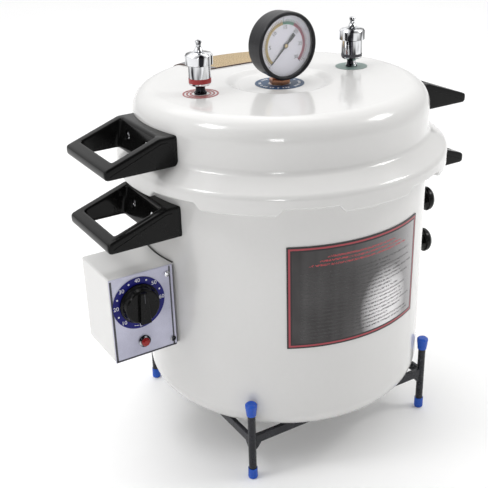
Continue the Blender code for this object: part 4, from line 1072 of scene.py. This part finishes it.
def stand():
    low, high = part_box("stand")
    spread = 0.1119
    bar_low, bar_high = 0.0412, POT_BOTTOM - 0.0003
    bm = bmesh.new()
    for sx in (-1, 1):
        for sy in (-1, 1):
            leg = turned(rounded([(0, low.z), (0.0040, low.z, 0.0005), (0.0040, high.z, 0.0005), (0, high.z)], 3), 32)
            leg.transform(Matrix.Translation((sx * spread, sy * spread, 0)))
            join(bm, leg)
            for along in (0, 1):
                gusset = rounded([(0.0030, bar_low + 0.002), (0.0120, bar_low + 0.002, 0.002),
                                  (0.0046, bar_low - 0.007, 0.002), (0.0030, bar_low - 0.007)], 4)
                part = prism(gusset, -0.0017, 0.0017, axis="Y")
                turn = math.atan2(-sy, 0) if along else math.atan2(0, -sx)
                part.transform(Matrix.Translation((sx * spread, sy * spread, 0)) @ Matrix.Rotation(turn, 4, "Z"))
                join(bm, part)
    for along in (0, 1):
        for side in (-1, 1):
            flat = 0.0001 * along
            bar = bevelled(loose("bar", box((-spread, side * spread - 0.0022, bar_low + flat),
                                            (spread, side * spread + 0.0022, bar_high - flat))), 0.0008, 3)
            part = bmesh.new()
            part.from_mesh(bar.data)
            bpy.data.objects.remove(bar, do_unlink=True)
            part.transform(Matrix.Rotation(math.pi / 2 * along, 4, "Z"))
            join(bm, part)
    piece(loose("stand_frame", bm), "pot", "blued_steel", "stand")
    for number in range(1, 5):
        spot = middle(f"foot_cap_{number}")
        place = Matrix.Translation((spot.x, spot.y, 0))
        lathe_piece(f"foot_cap_sleeve_{number}", rounded([
            (0, 0), (0.0046, 0, 0.0008), (0.0050, 0.0015, 0.0010), (0.0048, 0.0120, 0.0003), (0.0043, 0.0120),
            (0.0043, 0.0019), (0, 0.0019)], 4), "pot", "blue_vinyl", f"foot_cap_{number}", sides=48, place=place)
        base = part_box(f"top_cap_{number}")[0].z
        place = Matrix.Translation((spot.x, spot.y, base))
        lathe_piece(f"top_cap_sleeve_{number}", rounded([
            (0, 0.0140), (0.0044, 0.0140, 0.0010), (0.0060, 0.0126, 0.0010), (0.0061, 0.0105, 0.0012), (0.0049, 0.0, 0.0003),
            (0.0043, 0.0), (0.0043, 0.0118), (0, 0.0118)], 4), "pot", "blue_vinyl", f"top_cap_{number}", sides=48,
            place=place)


# ---------------------------------------------------------------- scene

def carried_over():
    """Materials for the CAD nodes that stay."""
    slots = {part["node"]: part["material_slot"] for part in frame["record"]["subparts"]}
    for name, node in frame["nodes"].items():
        if node.hide_render:
            continue
        node.data.materials.clear()
        node.data.materials.append(MATERIALS[slots[name]])


DARK_SIDE = (-0.30, -0.90, 0.30)          # direction of the unlit end of the studio


def floor_and_lights():
    bpy.context.scene.view_settings.view_transform = "Standard"
    bm = bmesh.new()
    size = 12.0
    corners = [bm.verts.new((x, y, -0.0002)) for x, y in ((-size, -size), (size, -size), (size, size), (-size, size))]
    bm.faces.new(corners)
    ground = loose("studio_floor", bm)
    paper = surface("floor_paper", (0.93, 0.93, 0.93), (0.95, 0.95, 0.95), (0.55, 0.70), 3.0, 60.0, 0.01)
    ground.data.materials.append(paper)
    world = bpy.data.worlds.new("studio")
    bpy.context.scene.world = world
    world.use_nodes = True
    tree = world.node_tree
    tree.nodes["Background"].inputs[0].default_value = (1.0, 1.0, 1.0, 1.0)
    direction = tree.nodes.new("ShaderNodeTexCoord")
    towards = tree.nodes.new("ShaderNodeVectorMath")
    towards.operation = "DOT_PRODUCT"
    towards.inputs[1].default_value = DARK_SIDE
    tree.links.new(direction.outputs["Generated"], towards.inputs[0])
    fade = tree.nodes.new("ShaderNodeMapRange")
    fade.interpolation_type = "SMOOTHSTEP"
    for index, number in ((1, 0.35), (2, 0.90), (3, 1.0), (4, 0.12)):
        fade.inputs[index].default_value = number
    tree.links.new(towards.outputs["Value"], fade.inputs[0])
    parts = tree.nodes.new("ShaderNodeSeparateXYZ")
    tree.links.new(direction.outputs["Generated"], parts.inputs[0])
    sky = tree.nodes.new("ShaderNodeMapRange")
    for index, number in ((1, 0.0), (2, 0.60), (3, 0.66), (4, 1.30)):
        sky.inputs[index].default_value = number
    tree.links.new(parts.outputs[2], sky.inputs[0])
    level = tree.nodes.new("ShaderNodeMath")
    level.operation = "MULTIPLY"
    tree.links.new(fade.outputs[0], level.inputs[0])
    tree.links.new(sky.outputs[0], level.inputs[1])
    tree.links.new(level.outputs[0], tree.nodes["Background"].inputs[1])
    for name, place, aim, wide, high, power, tint in (
            ("key_left", (-1.01, 0.18, 1.50), (0, 0, 0.25), 0.40, 0.36, 4.5, (1.0, 1.0, 1.0)),
            ("key_right", (1.06, -0.61, 1.30), (0, 0, 0.25), 0.40, 0.36, 4.5, (1.0, 0.99, 0.96)),
            ("front", (-0.95, -1.35, 0.75), (0, 0, 0.20), 0.30, 0.30, 3.0, (1.0, 1.0, 1.0)),
            ("top", (0.1, 1.2, 2.2), (0, 0.5, 0.0), 2.0, 1.6, 10.0, (1.0, 1.0, 1.0))):
        light = bpy.data.lights.new(name, "AREA")
        light.shape = "RECTANGLE"
        light.size, light.size_y = wide, high
        light.energy = power
        light.color = tint
        lamp = bpy.data.objects.new(name, light)
        bpy.context.scene.collection.objects.link(lamp)
        lamp.location = place
        lamp.rotation_euler = (Vector(aim) - Vector(place)).to_track_quat("-Z", "Y").to_euler()


def camera():
    data = bpy.data.cameras.new("camera")
    data.lens, data.sensor_width = 64.0, 36.0
    data.clip_start = 0.02
    made = bpy.data.objects.new("camera", data)
    bpy.context.scene.collection.objects.link(made)
    around, down, roll = math.radians(-30.744), math.radians(24.803), math.radians(-1.775)
    ahead = Vector((-math.sin(around) * math.cos(down), math.cos(around) * math.cos(down), -math.sin(down)))
    right = Vector((math.cos(around), math.sin(around), 0))
    up = right.cross(ahead)
    x_axis = right * math.cos(roll) + up * math.sin(roll)
    y_axis = up * math.cos(roll) - right * math.sin(roll)
    made.matrix_world = Matrix.Translation((-0.47706, -0.72180, 0.59243)) @ Matrix(
        (x_axis, y_axis, -ahead)).transposed().to_4x4()
    bpy.context.scene.camera = made


camera()
floor_and_lights()
pot_and_plates()
lid_shell()
lid_plate()
stickers()
handles()
gauge()
valves()
timer_box()
chamber()
stand()
carried_over()
